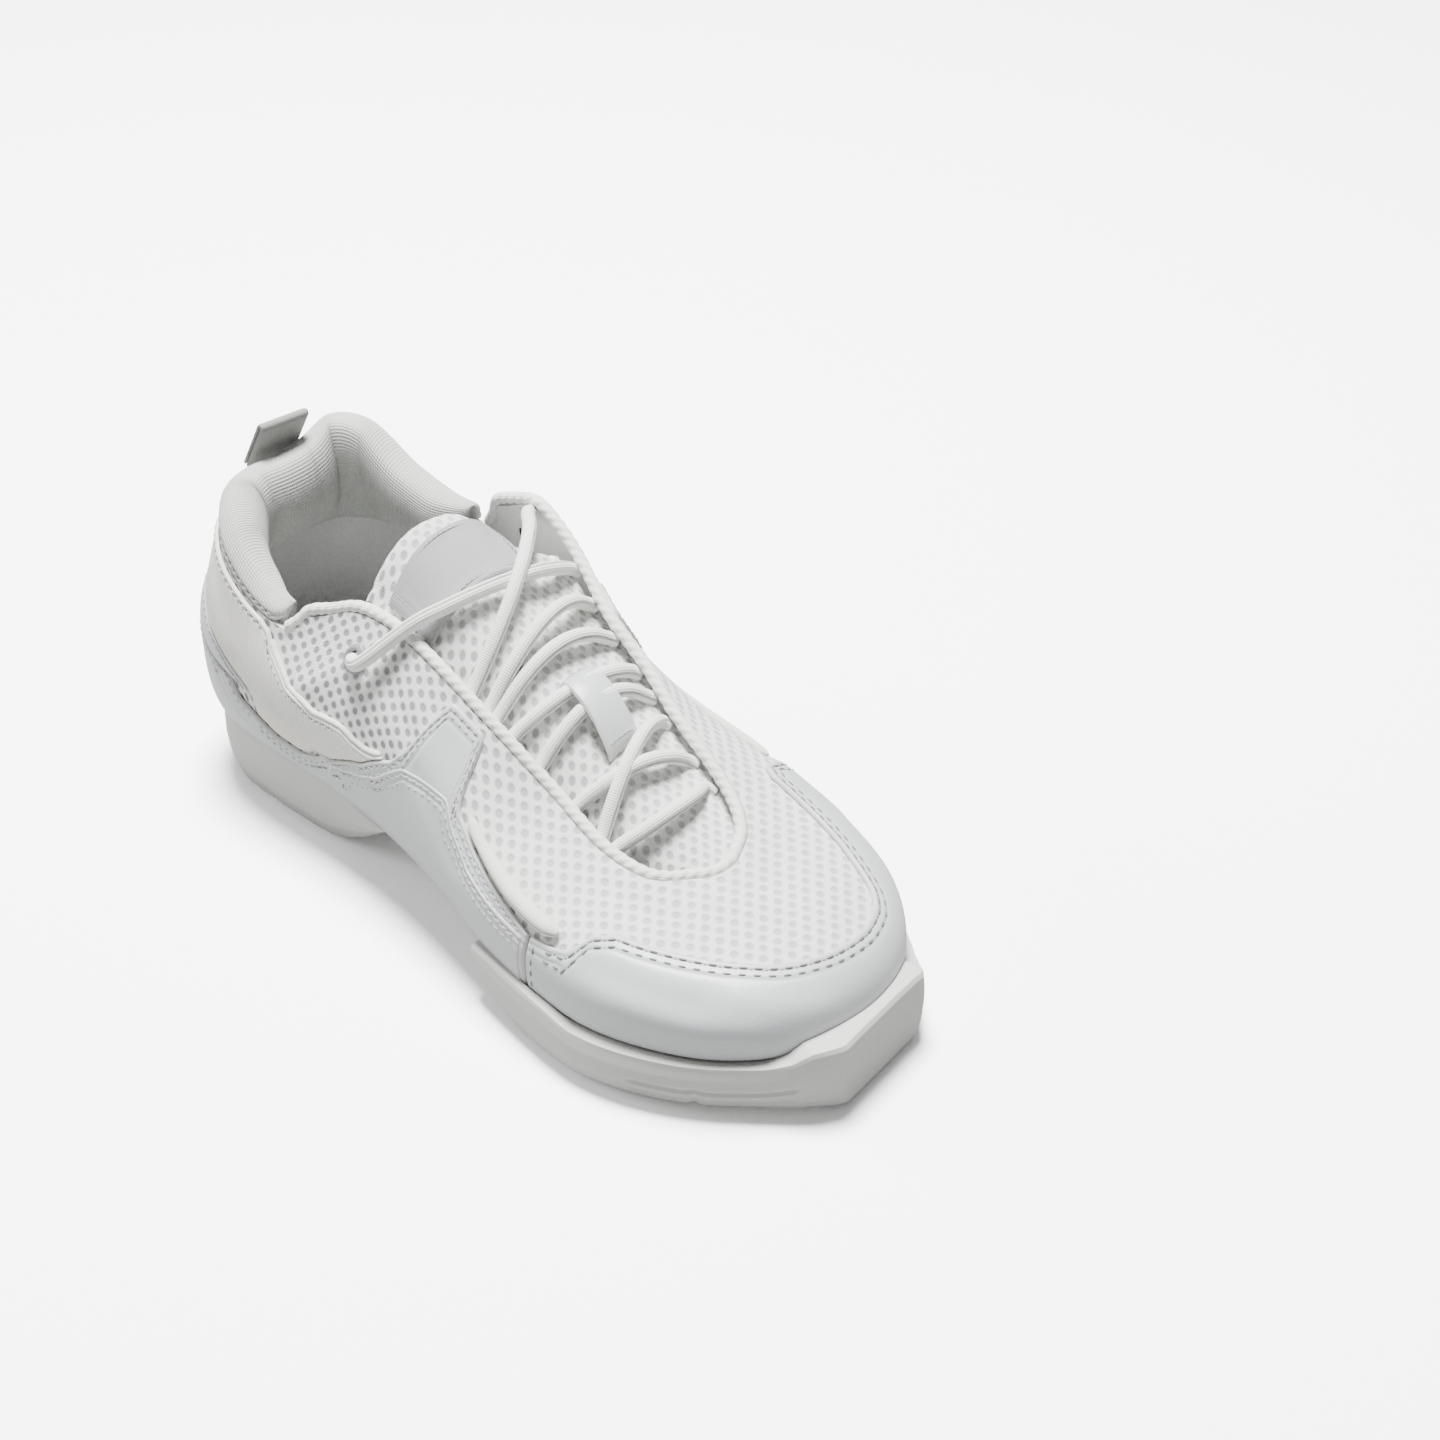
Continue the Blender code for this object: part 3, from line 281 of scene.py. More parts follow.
def bed(x):
    """Height of the sole units' top face."""
    drop = smooth_step(x, 0.12 * LENGTH, 0.66 * LENGTH)
    rise = smooth_step(x, 0.86 * LENGTH, LENGTH)
    return HEEL_BED + (BALL_BED - HEEL_BED) * drop + TOE_RISE * rise


def catmull_rom(before, start, end, after, t):
    return 0.5 * (
        2.0 * start
        + (end - before) * t
        + (2.0 * before - 5.0 * start + 4.0 * end - after) * t**2
        + (3.0 * start - before - 3.0 * end + after) * t**3
    )


def closed_curve(section, steps):
    """A smooth closed curve through a section's rows, with this many steps from each row to the next."""
    section = np.array(section)
    fine = []
    for i in range(len(section)):
        four = [section[(i + k) % len(section)] for k in (-1, 0, 1, 2)]
        fine += [catmull_rom(*four, t) for t in np.linspace(0.0, 1.0, steps, endpoint=False)]
    return np.array(fine)


def last_columns(u):
    """Each column of the last at u, on a smooth closed curve through its rows."""
    table = np.array(LAST)
    lap = np.floor(u / ROUND)
    index = np.floor(u).astype(int)
    t = (u - index)[..., None]
    rows = []
    for step in (-1, 0, 1, 2):
        row = table[(index + step) % ROUND].copy()
        row[..., 2] += 360.0 * np.floor((index + step) / ROUND)
        rows.append(row)
    mixed = catmull_rom(*rows, t)
    mixed[..., 2] -= 360.0 * lap
    return dict(zip(LAST_COLUMNS, np.moveaxis(mixed, -1, 0)))


def frame_of(u):
    """Plan point and outward direction of each section, with its lengths in metres."""
    row = last_columns(u)
    half = np.where(row["across"] < 0.0, LATERAL, MEDIAL)
    turn = np.radians(row["turn"])
    out = np.stack((np.cos(turn), np.sin(turn)), axis=-1)
    widest = np.stack((row["along"] * LENGTH, row["across"] * half), axis=-1)
    return row, widest, out


def skin_on_last(u, v):
    """Point of the upper's outer face: v is 0 at its bottom edge and 1 at its top edge."""
    u, v = np.broadcast_arrays(np.asarray(u, float), np.asarray(v, float))
    row, widest, out = frame_of(u)
    tuck = row["tuck"] * LATERAL
    inset = row["inset"] * LATERAL
    foot = bed(widest[..., 0] - tuck * out[..., 0]) + GAP
    bulge = row["bulge"] * COLLAR_HEIGHT
    top = row["top"] * COLLAR_HEIGHT
    under = np.clip(v / FOOT_SHARE, 0.0, 1.0) * 0.5 * np.pi
    low_q = -tuck * (1.0 - np.sin(under) ** FOOT_CORNER)
    low_z = foot + (bulge - foot) * (1.0 - np.clip(np.cos(under), 0.0, 1.0) ** FOOT_CORNER)
    t = np.clip((v - FOOT_SHARE) / (1.0 - FOOT_SHARE), 0.0, None)
    lean = np.radians(row["lean"])
    handle = 0.42 * np.hypot(inset, top - bulge)
    q = (-inset + handle * np.cos(lean)) * 3.0 * (1.0 - t) * t**2 - inset * t**3
    z = (
        bulge * (1.0 - t) ** 3
        + (bulge + row["crown"] * (top - bulge)) * 3.0 * (1.0 - t) ** 2 * t
        + (top - handle * np.sin(lean)) * 3.0 * (1.0 - t) * t**2
        + top * t**3
    )
    below = v < FOOT_SHARE
    q = np.where(below, low_q, q)
    z = np.where(below, low_z, z)
    return np.stack((widest[..., 0] + q * out[..., 0], widest[..., 1] + q * out[..., 1], z), axis=-1)


def skin(u, v, out=0.0):
    """The same point moved out of the upper along its normal."""
    u, v, out = np.broadcast_arrays(np.asarray(u, float), np.asarray(v, float), np.asarray(out, float))
    step = 0.02
    low = np.clip(v - step, 0.0, 1.2)
    high = np.clip(v + step, 0.0, 1.2)
    round_it = skin_on_last(u + step, v) - skin_on_last(u - step, v)
    up_it = skin_on_last(u, high) - skin_on_last(u, low)
    normal = np.cross(round_it, up_it)
    normal /= np.linalg.norm(normal, axis=-1, keepdims=True)
    return skin_on_last(u, v) + normal * out[..., None]


def normal_at(u, v):
    """The upper's outward direction."""
    return (skin(u, v, 0.001) - skin(u, v)) / 0.001


def foot_v(u, rise):
    """The v at which the wall stands this high above its bottom edge, below its widest point."""
    row, widest, out = frame_of(np.asarray(u, float))
    tuck = row["tuck"] * LATERAL
    foot = bed(widest[..., 0] - tuck * out[..., 0]) + GAP
    share = np.clip(rise / (row["bulge"] * COLLAR_HEIGHT - foot), 0.0, 1.0)
    return FOOT_SHARE * np.arccos((1.0 - share) ** (1.0 / FOOT_CORNER)) / (0.5 * np.pi)


def across(s):
    """The inner side's u that faces s on the outer side."""
    return ROUND - s - 0.3 * smooth_step(s, 7.0, 10.0)


def edge_at(table, at, soft=0.07, column=1):
    """A table's column at these u, with its corners rounded over a short stretch."""
    table = np.array(table)
    total = 0.0
    weights = 0.0
    for share in np.linspace(-1.0, 1.0, 9):
        weight = 1.05 - share**2
        total = total + weight * np.interp(np.asarray(at) + share * soft, table[:, 0], table[:, column])
        weights += weight
    return total / weights


def relief(u, v):
    """How far the upper stands out at its soft creases and dents."""
    u, v = np.broadcast_arrays(np.asarray(u, float) % ROUND, np.asarray(v, float))
    total = 0.00012 * np.sin(2.3 * u + 5.0 * v) * np.sin(1.1 * u - 9.0 * v + 1.0)
    for from_u, from_v, to_u, to_v, width, height in CREASES:
        way = np.array(((to_u - from_u) * U_METRES, (to_v - from_v) * V_METRES))
        x = (u - from_u) * U_METRES
        y = (v - from_v) * V_METRES
        share = (x * way[0] + y * way[1]) / way.dot(way)
        off = np.hypot(x - np.clip(share, 0, 1) * way[0], y - np.clip(share, 0, 1) * way[1])
        total = total + height * np.exp(-((off / width) ** 2))
    return total * smooth_step(v, 0.10, 0.22) * (1.0 - 0.7 * smooth_step(v, 0.90, 1.0))


def flat_pattern(u, v):
    """One section unrolled from its top edge, as plan points in metres: what a woven pattern follows."""
    samples = np.linspace(0.0, 1.0, 41)
    points = skin_on_last(u, samples)
    steps = np.linalg.norm(np.diff(points, axis=0), axis=1)
    fall = np.append(np.cumsum(steps[::-1])[::-1], 0.0)
    row, widest, out = frame_of(np.asarray(float(u)))
    return points[-1, :2] + out * np.interp(v, samples, fall)[:, None]


# Meshes


def placed(name, data):
    """A new object in the scene."""
    made = bpy.data.objects.new(name, data)
    bpy.context.scene.collection.objects.link(made)
    return made


def new_object(name, points, faces, finishes, uv=None, slots=None, smooth=40.0):
    """A mesh object of these points in the last's own frame, riding on the shoe."""
    mesh = bpy.data.meshes.new(name)
    mesh.from_pydata((np.asarray(points) + SHIFT).tolist(), [], faces)
    for finish in finishes:
        mesh.materials.append(finish)
    if uv is not None:
        layer = mesh.uv_layers.new(name="UVMap")
        corner = np.empty(len(mesh.loops), np.int32)
        mesh.loops.foreach_get("vertex_index", corner)
        layer.data.foreach_set("uv", np.asarray(uv, np.float32)[corner].ravel())
    if slots is not None:
        mesh.polygons.foreach_set("material_index", np.asarray(slots, np.int32))
    mesh.shade_smooth()
    mesh.set_sharp_from_angle(angle=math.radians(smooth))
    return placed(name, mesh)


def loft(name, rings, finish, uv=None, closed=False, folded=False, masks=None, smooth=40.0):
    """A closed surface through rings of equal length, looped or capped at its two ends."""
    rings = np.asarray(rings, float)
    count, size = rings.shape[:2]
    last = count if closed else count - 1
    i, j = np.meshgrid(np.arange(last), np.arange(size), indexing="ij")
    i, j = i.ravel(), j.ravel()
    k = (j + 1) % size
    there = (i + 1) % count
    quads = np.stack((i * size + j, i * size + k, there * size + k, there * size + j), axis=-1)
    points = rings.reshape(-1, 3)
    a, b, c, d = (points[quads[:, n]] for n in range(4))
    volume = np.einsum("ij,ij->", a, np.cross(b, c)) + np.einsum("ij,ij->", a, np.cross(c, d))
    faces = quads.tolist()
    if not closed:
        faces.append(list(range(size))[::-1])
        end = (count - 1) * size
        if folded:
            for n in range(size // 2 - 1):
                faces.append([end + n, end + n + 1, end + size - 2 - n, end + size - 1 - n])
        else:
            faces.append([end + n for n in range(size)])
    if volume < 0.0:
        faces = [face[::-1] for face in faces]
    flat = None if uv is None else np.asarray(uv).reshape(-1, 2) / UV_METRES + 0.5
    made = new_object(name, points, faces, [finish], flat, smooth=smooth)
    for mask, values in (masks or {}).items():
        layer = made.data.attributes.new(mask, "FLOAT", "POINT")
        layer.data.foreach_set("value", np.asarray(values, np.float32).ravel())
    return made


def dense_path(path, spacing):
    """Points a short way apart on a smooth curve through these points."""
    path = np.asarray(path, float)
    ends = np.concatenate((path[:1] * 2.0 - path[1:2], path, path[-1:] * 2.0 - path[-2:-1]))
    points = []
    for i in range(len(path) - 1):
        for t in np.linspace(0.0, 1.0, 24, endpoint=False):
            points.append(catmull_rom(*ends[i : i + 4], t))
    points = np.array(points + [path[-1]])
    along = run_along(points)
    wanted = np.linspace(0.0, along[-1], max(3, int(round(along[-1] / spacing)) + 1))
    return np.stack([np.interp(wanted, along, points[:, n]) for n in range(3)], axis=-1), wanted


def tube(name, path, radius, finish, sides=14, spacing=0.0012, shape=None, flatten=1.0, ends=0.0008):
    """A cord through these points, with rounded ends. radius is one number, or some along its length."""
    points, along = dense_path(path, spacing)
    share = along / along[-1]
    sizes = np.atleast_1d(radius)
    radii = np.interp(share, np.linspace(0.0, 1.0, len(sizes)), sizes)
    way = np.gradient(points, axis=0)
    way /= np.linalg.norm(way, axis=1, keepdims=True)
    side = np.cross(way[0], (0.0, 0.0, 1.0))
    turn = np.arange(sides) / sides * 2.0 * np.pi
    near = np.minimum(along, along[-1] - along)
    radii = radii * rolled(np.maximum(near, 0.08 * ends), ends)
    rings, uv = [], []
    for point, ahead, size, s in zip(points, way, radii, along):
        side = unit(side - ahead * np.dot(side, ahead))
        other = np.cross(ahead, side)
        grown = size * (shape(s, turn) if shape else np.ones(sides))
        ring = np.outer(np.cos(turn) * grown, side) + np.outer(np.sin(turn) * grown * flatten, other)
        rings.append(point + ring)
        uv.append(np.stack((np.full(sides, s - 0.24), turn / (2.0 * np.pi) * CORD_GIRTH), axis=-1))
    return loft(name, rings, finish, uv=np.array(uv)), points + SHIFT


def overlay(
    name, stations, low, high, finish, seams=(), base=GAP + 0.0001, thick=OVERLAY - 0.0001, bevel=0.0008
):
    """A thin piece on the upper's own surface with rolled edges, between two edges given as v.

    seams are the distances from its top edge at which a row of stitches pulls it in.
    """
    near = EDGE_ROWS
    rings, uv, rim = [], [], []
    first, last = stations[0], stations[-1]
    slope = np.gradient(high, stations)
    for u, bottom, top, tilt in zip(stations, low, high, slope):
        middle = 0.5 * (bottom + top)
        per_v = np.linalg.norm(skin_on_last(u, middle + 0.01) - skin_on_last(u, middle - 0.01)) / 0.02
        per_u = np.linalg.norm(skin_on_last(u + 0.02, middle) - skin_on_last(u - 0.02, middle)) / 0.04
        steep = math.hypot(1.0, tilt * per_v / per_u)
        span = (top - bottom) * per_v
        scale = min(1.0, 0.46 * span / (near[-1] * steep))
        down = near * scale * steep
        inside = np.linspace(near[-1] * scale, span - down[-1], 16)[1:-1]
        up = np.concatenate((near * scale, inside, span - down[::-1]))
        v = bottom + up / per_v
        from_top = (span - up) / steep
        from_end = min(u - first, last - u) * per_u
        off = np.minimum(np.minimum(up, from_top), from_end)
        round_it = rolled(off, bevel)
        pull = sum(0.00028 * np.exp(-(((from_top - seam) / 0.0004) ** 2)) for seam in seams)
        height = base + thick * round_it - pull * round_it + relief(u, v)
        back = np.array((v[-1], 0.5 * (v[0] + v[-1]), v[0]))
        under = base - 0.00005 + relief(u, back)
        rings.append(np.concatenate((skin(u, v, height), skin(u, back, under))))
        uv.append(flat_pattern(u, np.concatenate((v, back))))
        rim.append(np.concatenate((off, np.zeros(3))))
    return loft(name, rings, finish, uv=np.array(uv), masks={"rim": np.array(rim) * 1000.0}, smooth=60.0)


def even_stations(table):
    """Values of u that lie evenly along an edge's own length."""
    first, last = table[0][0], table[-1][0]
    u = np.linspace(first, last, 2400)
    v = edge_at(table, u)
    step = np.hypot(np.diff(u) * U_METRES, np.diff(v) * V_METRES)
    along = np.concatenate(([0.0], np.cumsum(step)))
    even = np.interp(np.linspace(0.0, along[-1], int(along[-1] / 0.0009)), along, u)
    ends = np.array((0.0001, 0.0003, 0.0006)) / U_METRES
    return np.unique(np.concatenate((even, first + ends, last - ends)))


def edge_row(table, first, last, inside, out, count=900):
    """A row on the upper at a set distance below an edge, with the surface's own direction."""
    u = np.linspace(first, last, count)
    v = edge_at(table, u)
    tilt = np.gradient(v, u) * V_METRES / U_METRES
    per_v = np.linalg.norm(skin_on_last(u, v) - skin_on_last(u, v - 0.02), axis=-1) / 0.02
    v = v - inside * np.minimum(np.hypot(1.0, tilt), 1.8) / per_v
    return skin(u, v, out + relief(u, v)), normal_at(u, v)


def ring_faces(base, rows):
    """Faces of a closed skin through rows of points round a stitch, with its two ends."""
    faces = []
    for low in range(base, base + STITCH_SIDES * (rows - 1), STITCH_SIDES):
        high = low + STITCH_SIDES
        for j in range(STITCH_SIDES):
            k = (j + 1) % STITCH_SIDES
            faces.append((low + j, low + k, high + k, high + j))
    top = base + STITCH_SIDES * (rows - 1)
    return faces + [tuple(range(base, base + STITCH_SIDES))[::-1], tuple(range(top, top + STITCH_SIDES))]


def stitches(name, rows, pitch, thread, hole, width=0.00032, dash=0.56):
    """Raised threads along rows on a surface, with a small dark disc of painted shade at each needle hole
    between them, as one mesh.
    """
    points, faces, slots = [], [], []
    ring = np.arange(STITCH_SIDES) / STITCH_SIDES * 2.0 * np.pi
    for path, normals in rows:
        along = run_along(path)
        number = max(1, int(round(along[-1] / pitch)))
        step = along[-1] / number
        for n in range(number):
            start = (n + 0.5 - 0.5 * dash) * step
            at = np.array([start, start + dash * step, (n + 1.0) * step])
            place = np.stack([np.interp(at, along, path[:, k]) for k in range(3)], axis=-1)
            up = unit(np.array([np.interp(at[0], along, normals[:, k]) for k in range(3)]))
            way = unit(place[1] - place[0])
            side = np.cross(up, way)
            faces += ring_faces(len(points), len(BOW))
            for share, size, lift in BOW:
                centre = place[0] + (place[1] - place[0]) * share + up * lift * width
                for angle in ring:
                    round_it = math.cos(angle) * side + 0.8 * math.sin(angle) * up
                    points.append(centre + width * size * round_it)
            slots += [0] * (len(faces) - len(slots))
            if n == number - 1:
                continue
            # A small dark disc of painted shade at the needle hole after this thread
            faces += [face[::-1] for face in ring_faces(len(points), 2)]
            half = 0.43 * (1.0 - dash) * step
            for level, grow in ((0.00006, 1.0), (-0.00025, 0.6)):
                for angle in ring:
                    across_it = 1.35 * width * grow * math.sin(angle) * side
                    points.append(place[2] + half * grow * math.cos(angle) * way + across_it + up * level)
            slots += [1] * (len(faces) - len(slots))
    return new_object(name, points, faces, [thread, hole], slots=slots, smooth=50.0)


# Shader groups: each gives masks, values and heights that change over the surface


class Nodes:
    """Short calls for adding and wiring nodes in one tree."""

    def __init__(self, tree):
        self.tree = tree

    def node(self, kind, **settings):
        made = self.tree.nodes.new(kind)
        for key, value in settings.items():
            setattr(made, key, value)
        return made

    def feed(self, socket, value):
        if isinstance(value, bpy.types.NodeSocket):
            self.tree.links.new(value, socket)
        else:
            socket.default_value = value

    def math(self, operation, *values):
        made = self.node("ShaderNodeMath", operation=operation)
        for socket, value in zip(made.inputs, values):
            self.feed(socket, value)
        return made.outputs[0]

    def vector(self, operation, *values):
        made = self.node("ShaderNodeVectorMath", operation=operation)
        for socket, value in zip(made.inputs, values):
            self.feed(socket, value)
        return made.outputs["Vector"]

    def scale(self, vector, by):
        made = self.node("ShaderNodeVectorMath", operation="SCALE")
        self.feed(made.inputs[0], vector)
        self.feed(made.inputs["Scale"], by)
        return made.outputs["Vector"]

    def split(self, vector):
        parts = self.node("ShaderNodeSeparateXYZ")
        self.feed(parts.inputs[0], vector)
        return parts.outputs

    def products(self, a, b, c, d):
        """a times b plus c times d."""
        return self.math("ADD", self.math("MULTIPLY", a, b), self.math("MULTIPLY", c, d))

    def ramp(self, value, low, high, to_low=0.0, to_high=1.0):
        made = self.node("ShaderNodeMapRange", interpolation_type="SMOOTHSTEP")
        for socket, given in zip(made.inputs, (value, low, high, to_low, to_high)):
            self.feed(socket, given)
        return made.outputs[0]

    def noise(self, vector, scale, detail=2.0, roughness=0.5):
        made = self.node("ShaderNodeTexNoise")
        self.feed(made.inputs["Vector"], vector)
        made.inputs["Scale"].default_value = scale
        made.inputs["Detail"].default_value = detail
        made.inputs["Roughness"].default_value = roughness
        return made.outputs["Fac"]

    def mix(self, share, first, second):
        made = self.node("ShaderNodeMix", data_type="RGBA")
        self.feed(made.inputs["Factor"], share)
        self.feed(made.inputs["A"], first)
        self.feed(made.inputs["B"], second)
        return made.outputs["Result"]


def group(name, inputs, outputs):
    """An empty shader group and its nodes. An input without a default takes a vector."""
    tree = bpy.data.node_groups.new(name, "ShaderNodeTree")
    for label, default in inputs.items():
        kind = "NodeSocketVector" if default is None else "NodeSocketFloat"
        socket = tree.interface.new_socket(label, in_out="INPUT", socket_type=kind)
        if default is not None:
            socket.default_value = default
    for label in outputs:
        tree.interface.new_socket(label, in_out="OUTPUT", socket_type="NodeSocketFloat")
    nodes = Nodes(tree)
    return tree, nodes, nodes.node("NodeGroupInput").outputs, nodes.node("NodeGroupOutput").inputs


def net_holes():
    """Staggered round holes of a spacer mesh, on a pattern in metres."""
    sizes = {"Pattern": None, "Size": 1.0, "Radius": 1.25}
    tree, n, given, out = group("Net holes", sizes, ("Hole", "Height"))
    first, second = (3.9, 2.5), (2.6, -2.9)  # the two steps from a hole to the next ones
    area = first[0] * second[1] - first[1] * second[0]
    wobble = n.node("ShaderNodeTexNoise")
    n.feed(wobble.inputs["Vector"], given["Pattern"])
    wobble.inputs["Scale"].default_value = 120.0
    shift = n.scale(n.vector("SUBTRACT", wobble.outputs["Color"], (0.5, 0.5, 0.5)), 0.0010)
    spread = n.scale(n.vector("ADD", given["Pattern"], shift), n.math("DIVIDE", 1000.0, given["Size"]))
    x, y, _ = n.split(spread)
    i = n.math("FRACT", n.products(x, second[1] / area, y, -second[0] / area))
    j = n.math("FRACT", n.products(x, -first[1] / area, y, first[0] / area))
    i = n.math("SUBTRACT", i, 0.5)
    j = n.math("SUBTRACT", j, 0.5)
    off_x = n.products(i, first[0], j, second[0])
    off_y = n.products(i, first[1], j, second[1])
    off = n.math("SQRT", n.products(off_x, off_x, off_y, off_y))
    inner = n.math("MULTIPLY", given["Radius"], 0.45)
    hole = n.math("SUBTRACT", 1.0, n.ramp(off, inner, given["Radius"]))
    n.feed(out["Hole"], hole)
    n.feed(out["Height"], n.products(hole, -1.0, n.noise(given["Pattern"], 1500.0), 0.22))
    return tree


def fine_grain():
    """Pebbled grain of coated leather or moulded rubber, with slow changes of tone."""
    tree, n, given, out = group("Fine grain", {"Place": None, "Grain": 900.0}, ("Height", "Tone", "Wear"))
    cells = n.node("ShaderNodeTexVoronoi", feature="F1")
    n.feed(cells.inputs["Vector"], given["Place"])
    n.feed(cells.inputs["Scale"], given["Grain"])
    pebbles = n.math("MULTIPLY", cells.outputs["Distance"], 0.6)
    n.feed(out["Height"], n.math("ADD", pebbles, n.noise(given["Place"], 420.0, 3.0, 0.6)))
    n.feed(out["Tone"], n.noise(given["Place"], 28.0, 3.0, 0.55))
    n.feed(out["Wear"], n.ramp(n.noise(given["Place"], 90.0, 4.0, 0.65), 0.52, 0.74))
    return tree


def woven_thread():
    """A woven or braided surface: crossing ridges at a set angle, on a pattern in metres."""
    sizes = {"Pattern": None, "Pitch": 1.0, "Slant": 1.0}
    tree, n, given, out = group("Woven thread", sizes, ("Height", "Shade"))
    per = n.math("DIVIDE", 2000.0 * math.pi, given["Pitch"])
    x, y, _ = (n.math("MULTIPLY", part, per) for part in n.split(given["Pattern"]))
    y = n.math("MULTIPLY", y, given["Slant"])
    height = n.math("MULTIPLY", n.math("SINE", n.math("ADD", x, y)), n.math("SINE", n.math("SUBTRACT", x, y)))
    n.feed(out["Height"], height)
    n.feed(out["Shade"], n.ramp(height, -0.9, 0.2))
    return tree


NET = net_holes()
GRAIN = fine_grain()
WEAVE = woven_thread()


# Materials


class Finish:
    """One material: its Principled shader, and the sources that its patterns read."""

    def __init__(self, name, colour, roughness):
        self.material = bpy.data.materials.new(name)
        self.material.use_nodes = True
        self.nodes = Nodes(self.material.node_tree)
        self.shader = self.material.node_tree.nodes["Principled BSDF"]
        self.shader.inputs["Base Color"].default_value = (*colour, 1.0)
        self.shader.inputs["Roughness"].default_value = roughness
        self.colour = (*colour, 1.0)
        self.heights = []

    def uv(self):
        """The piece's own UV map as a pattern in metres."""
        source = self.nodes.node("ShaderNodeUVMap")
        source.uv_map = "UVMap"
        return self.nodes.scale(source.outputs["UV"], UV_METRES)

    def rim(self):
        """How far the place lies from the piece's edge, in millimetres."""
        return self.nodes.node("ShaderNodeAttribute", attribute_name="rim").outputs["Fac"]

    def place(self):
        return self.nodes.node("ShaderNodeTexCoord").outputs["Object"]

    def use(self, tree, **values):
        made = self.nodes.node("ShaderNodeGroup")
        made.node_tree = tree
        for label, value in values.items():
            self.nodes.feed(made.inputs[label], value)
        return made.outputs

    def bump(self, height, depth, strength=1.0):
        """Adds a height, in metres from bottom to top, to what the surface already has."""
        made = self.nodes.node("ShaderNodeBump")
        made.inputs["Distance"].default_value = depth
        made.inputs["Strength"].default_value = strength
        self.nodes.feed(made.inputs["Height"], height)
        if self.heights:
            self.nodes.feed(made.inputs["Normal"], self.heights[-1])
        self.heights.append(made.outputs["Normal"])
        self.nodes.feed(self.shader.inputs["Normal"], made.outputs["Normal"])

    def paint(self, colour):
        self.nodes.feed(self.shader.inputs["Base Color"], colour)

    def rough(self, value):
        self.nodes.feed(self.shader.inputs["Roughness"], value)

    def set(self, **values):
        for label, value in values.items():
            self.shader.inputs[label.replace("_", " ")].default_value = value


def net_finish(name, size, depth):
    """White spacer mesh: staggered holes over its lining, filled with painted shade that is darker where the
    wall stands steep.
    """
    made = Finish(name, (0.86, 0.86, 0.84), 0.85)
    n = made.nodes
    net = made.use(NET, Pattern=made.uv(), Size=size, Radius=1.80)
    weave = made.use(WEAVE, Pattern=made.uv(), Pitch=0.9, Slant=1.0)
    level = n.split(n.node("ShaderNodeNewGeometry").outputs["Normal"])[2]
    # Painted shade in the holes: paler where the mesh faces up, darker where it stands steep
    inside = n.mix(n.ramp(level, 0.25, 0.95), STEEP_HOLE_SHADE, UPWARD_HOLE_SHADE)
    tone = n.noise(made.place(), 40.0)
    base = n.mix(n.ramp(tone, 0.35, 0.7), made.colour, toned(made.colour[:3], 0.96))
    made.paint(n.mix(net["Hole"], base, inside))
    made.bump(net["Height"], depth)
    made.bump(weave["Height"], 0.00006)
    made.set(Sheen_Weight=0.15, Sheen_Roughness=0.5)
    return made.material


def leather_finish(name, colour, roughness, coat):
    """Smooth coated leather: fine grain, a soft coat, paler where it is rubbed at its edges."""
    made = Finish(name, colour, roughness)
    n = made.nodes
    grain = made.use(GRAIN, Place=made.place(), Grain=900.0)
    edge = n.math("SUBTRACT", 1.0, n.ramp(made.rim(), 0.0, 0.7))
    tone = n.mix(grain["Tone"], made.colour, toned(colour, 0.965))
    made.paint(n.mix(n.math("MULTIPLY", edge, 0.55), tone, (0.62, 0.61, 0.56, 1.0)))
    made.rough(n.math("ADD", roughness - 0.04, n.math("MULTIPLY", grain["Wear"], 0.10)))
    made.bump(grain["Height"], 0.00005, 0.8)
    made.set(Coat_Weight=coat, Coat_Roughness=0.35, Specular_IOR_Level=0.45)
    return made.material


def ribbed_finish():
    """Cream leather pressed with fine upright ribs."""
    made = Finish("cream ribbed leather", (0.88, 0.875, 0.82), 0.55)
    n = made.nodes
    x, y, _ = n.split(made.uv())
    lean = n.math("ADD", x, n.math("MULTIPLY", y, 0.22))
    phase = n.products(lean, 2.0 * math.pi / 0.00115, n.noise(made.place(), 70.0, 1.0), 5.0)
    rib = n.math("MULTIPLY", n.math("ADD", n.math("SINE", phase), 1.0), 0.5)
    rib = n.math("MULTIPLY", rib, n.ramp(made.rim(), 0.9, 1.8))
    grain = made.use(GRAIN, Place=made.place(), Grain=1100.0)
    shade = n.mix(n.ramp(rib, 0.1, 0.75), (0.74, 0.73, 0.66, 1.0), made.colour)
    made.paint(n.mix(n.ramp(made.rim(), 0.0, 0.5), (0.74, 0.72, 0.64, 1.0), shade))
    made.bump(rib, 0.00022)
    made.bump(grain["Height"], 0.00005)
    made.set(Coat_Weight=0.08, Coat_Roughness=0.5)
    return made.material


def knit_finish():
    """Knitted collar lining: a fine twill of small loops."""
    made = Finish("knitted collar lining", (0.64, 0.65, 0.62), 0.9)
    n = made.nodes
    weave = made.use(WEAVE, Pattern=made.uv(), Pitch=1.9, Slant=1.35)
    tone = n.noise(made.place(), 60.0, 3.0)
    base = n.mix(tone, made.colour, (0.61, 0.62, 0.59, 1.0))
    made.paint(n.mix(weave["Shade"], (0.48, 0.49, 0.46, 1.0), base))
    made.bump(weave["Height"], 0.00012)
    made.bump(n.noise(made.place(), 2600.0, 2.0), 0.00005)
    made.set(Sheen_Weight=0.2, Sheen_Roughness=0.5)
    return made.material


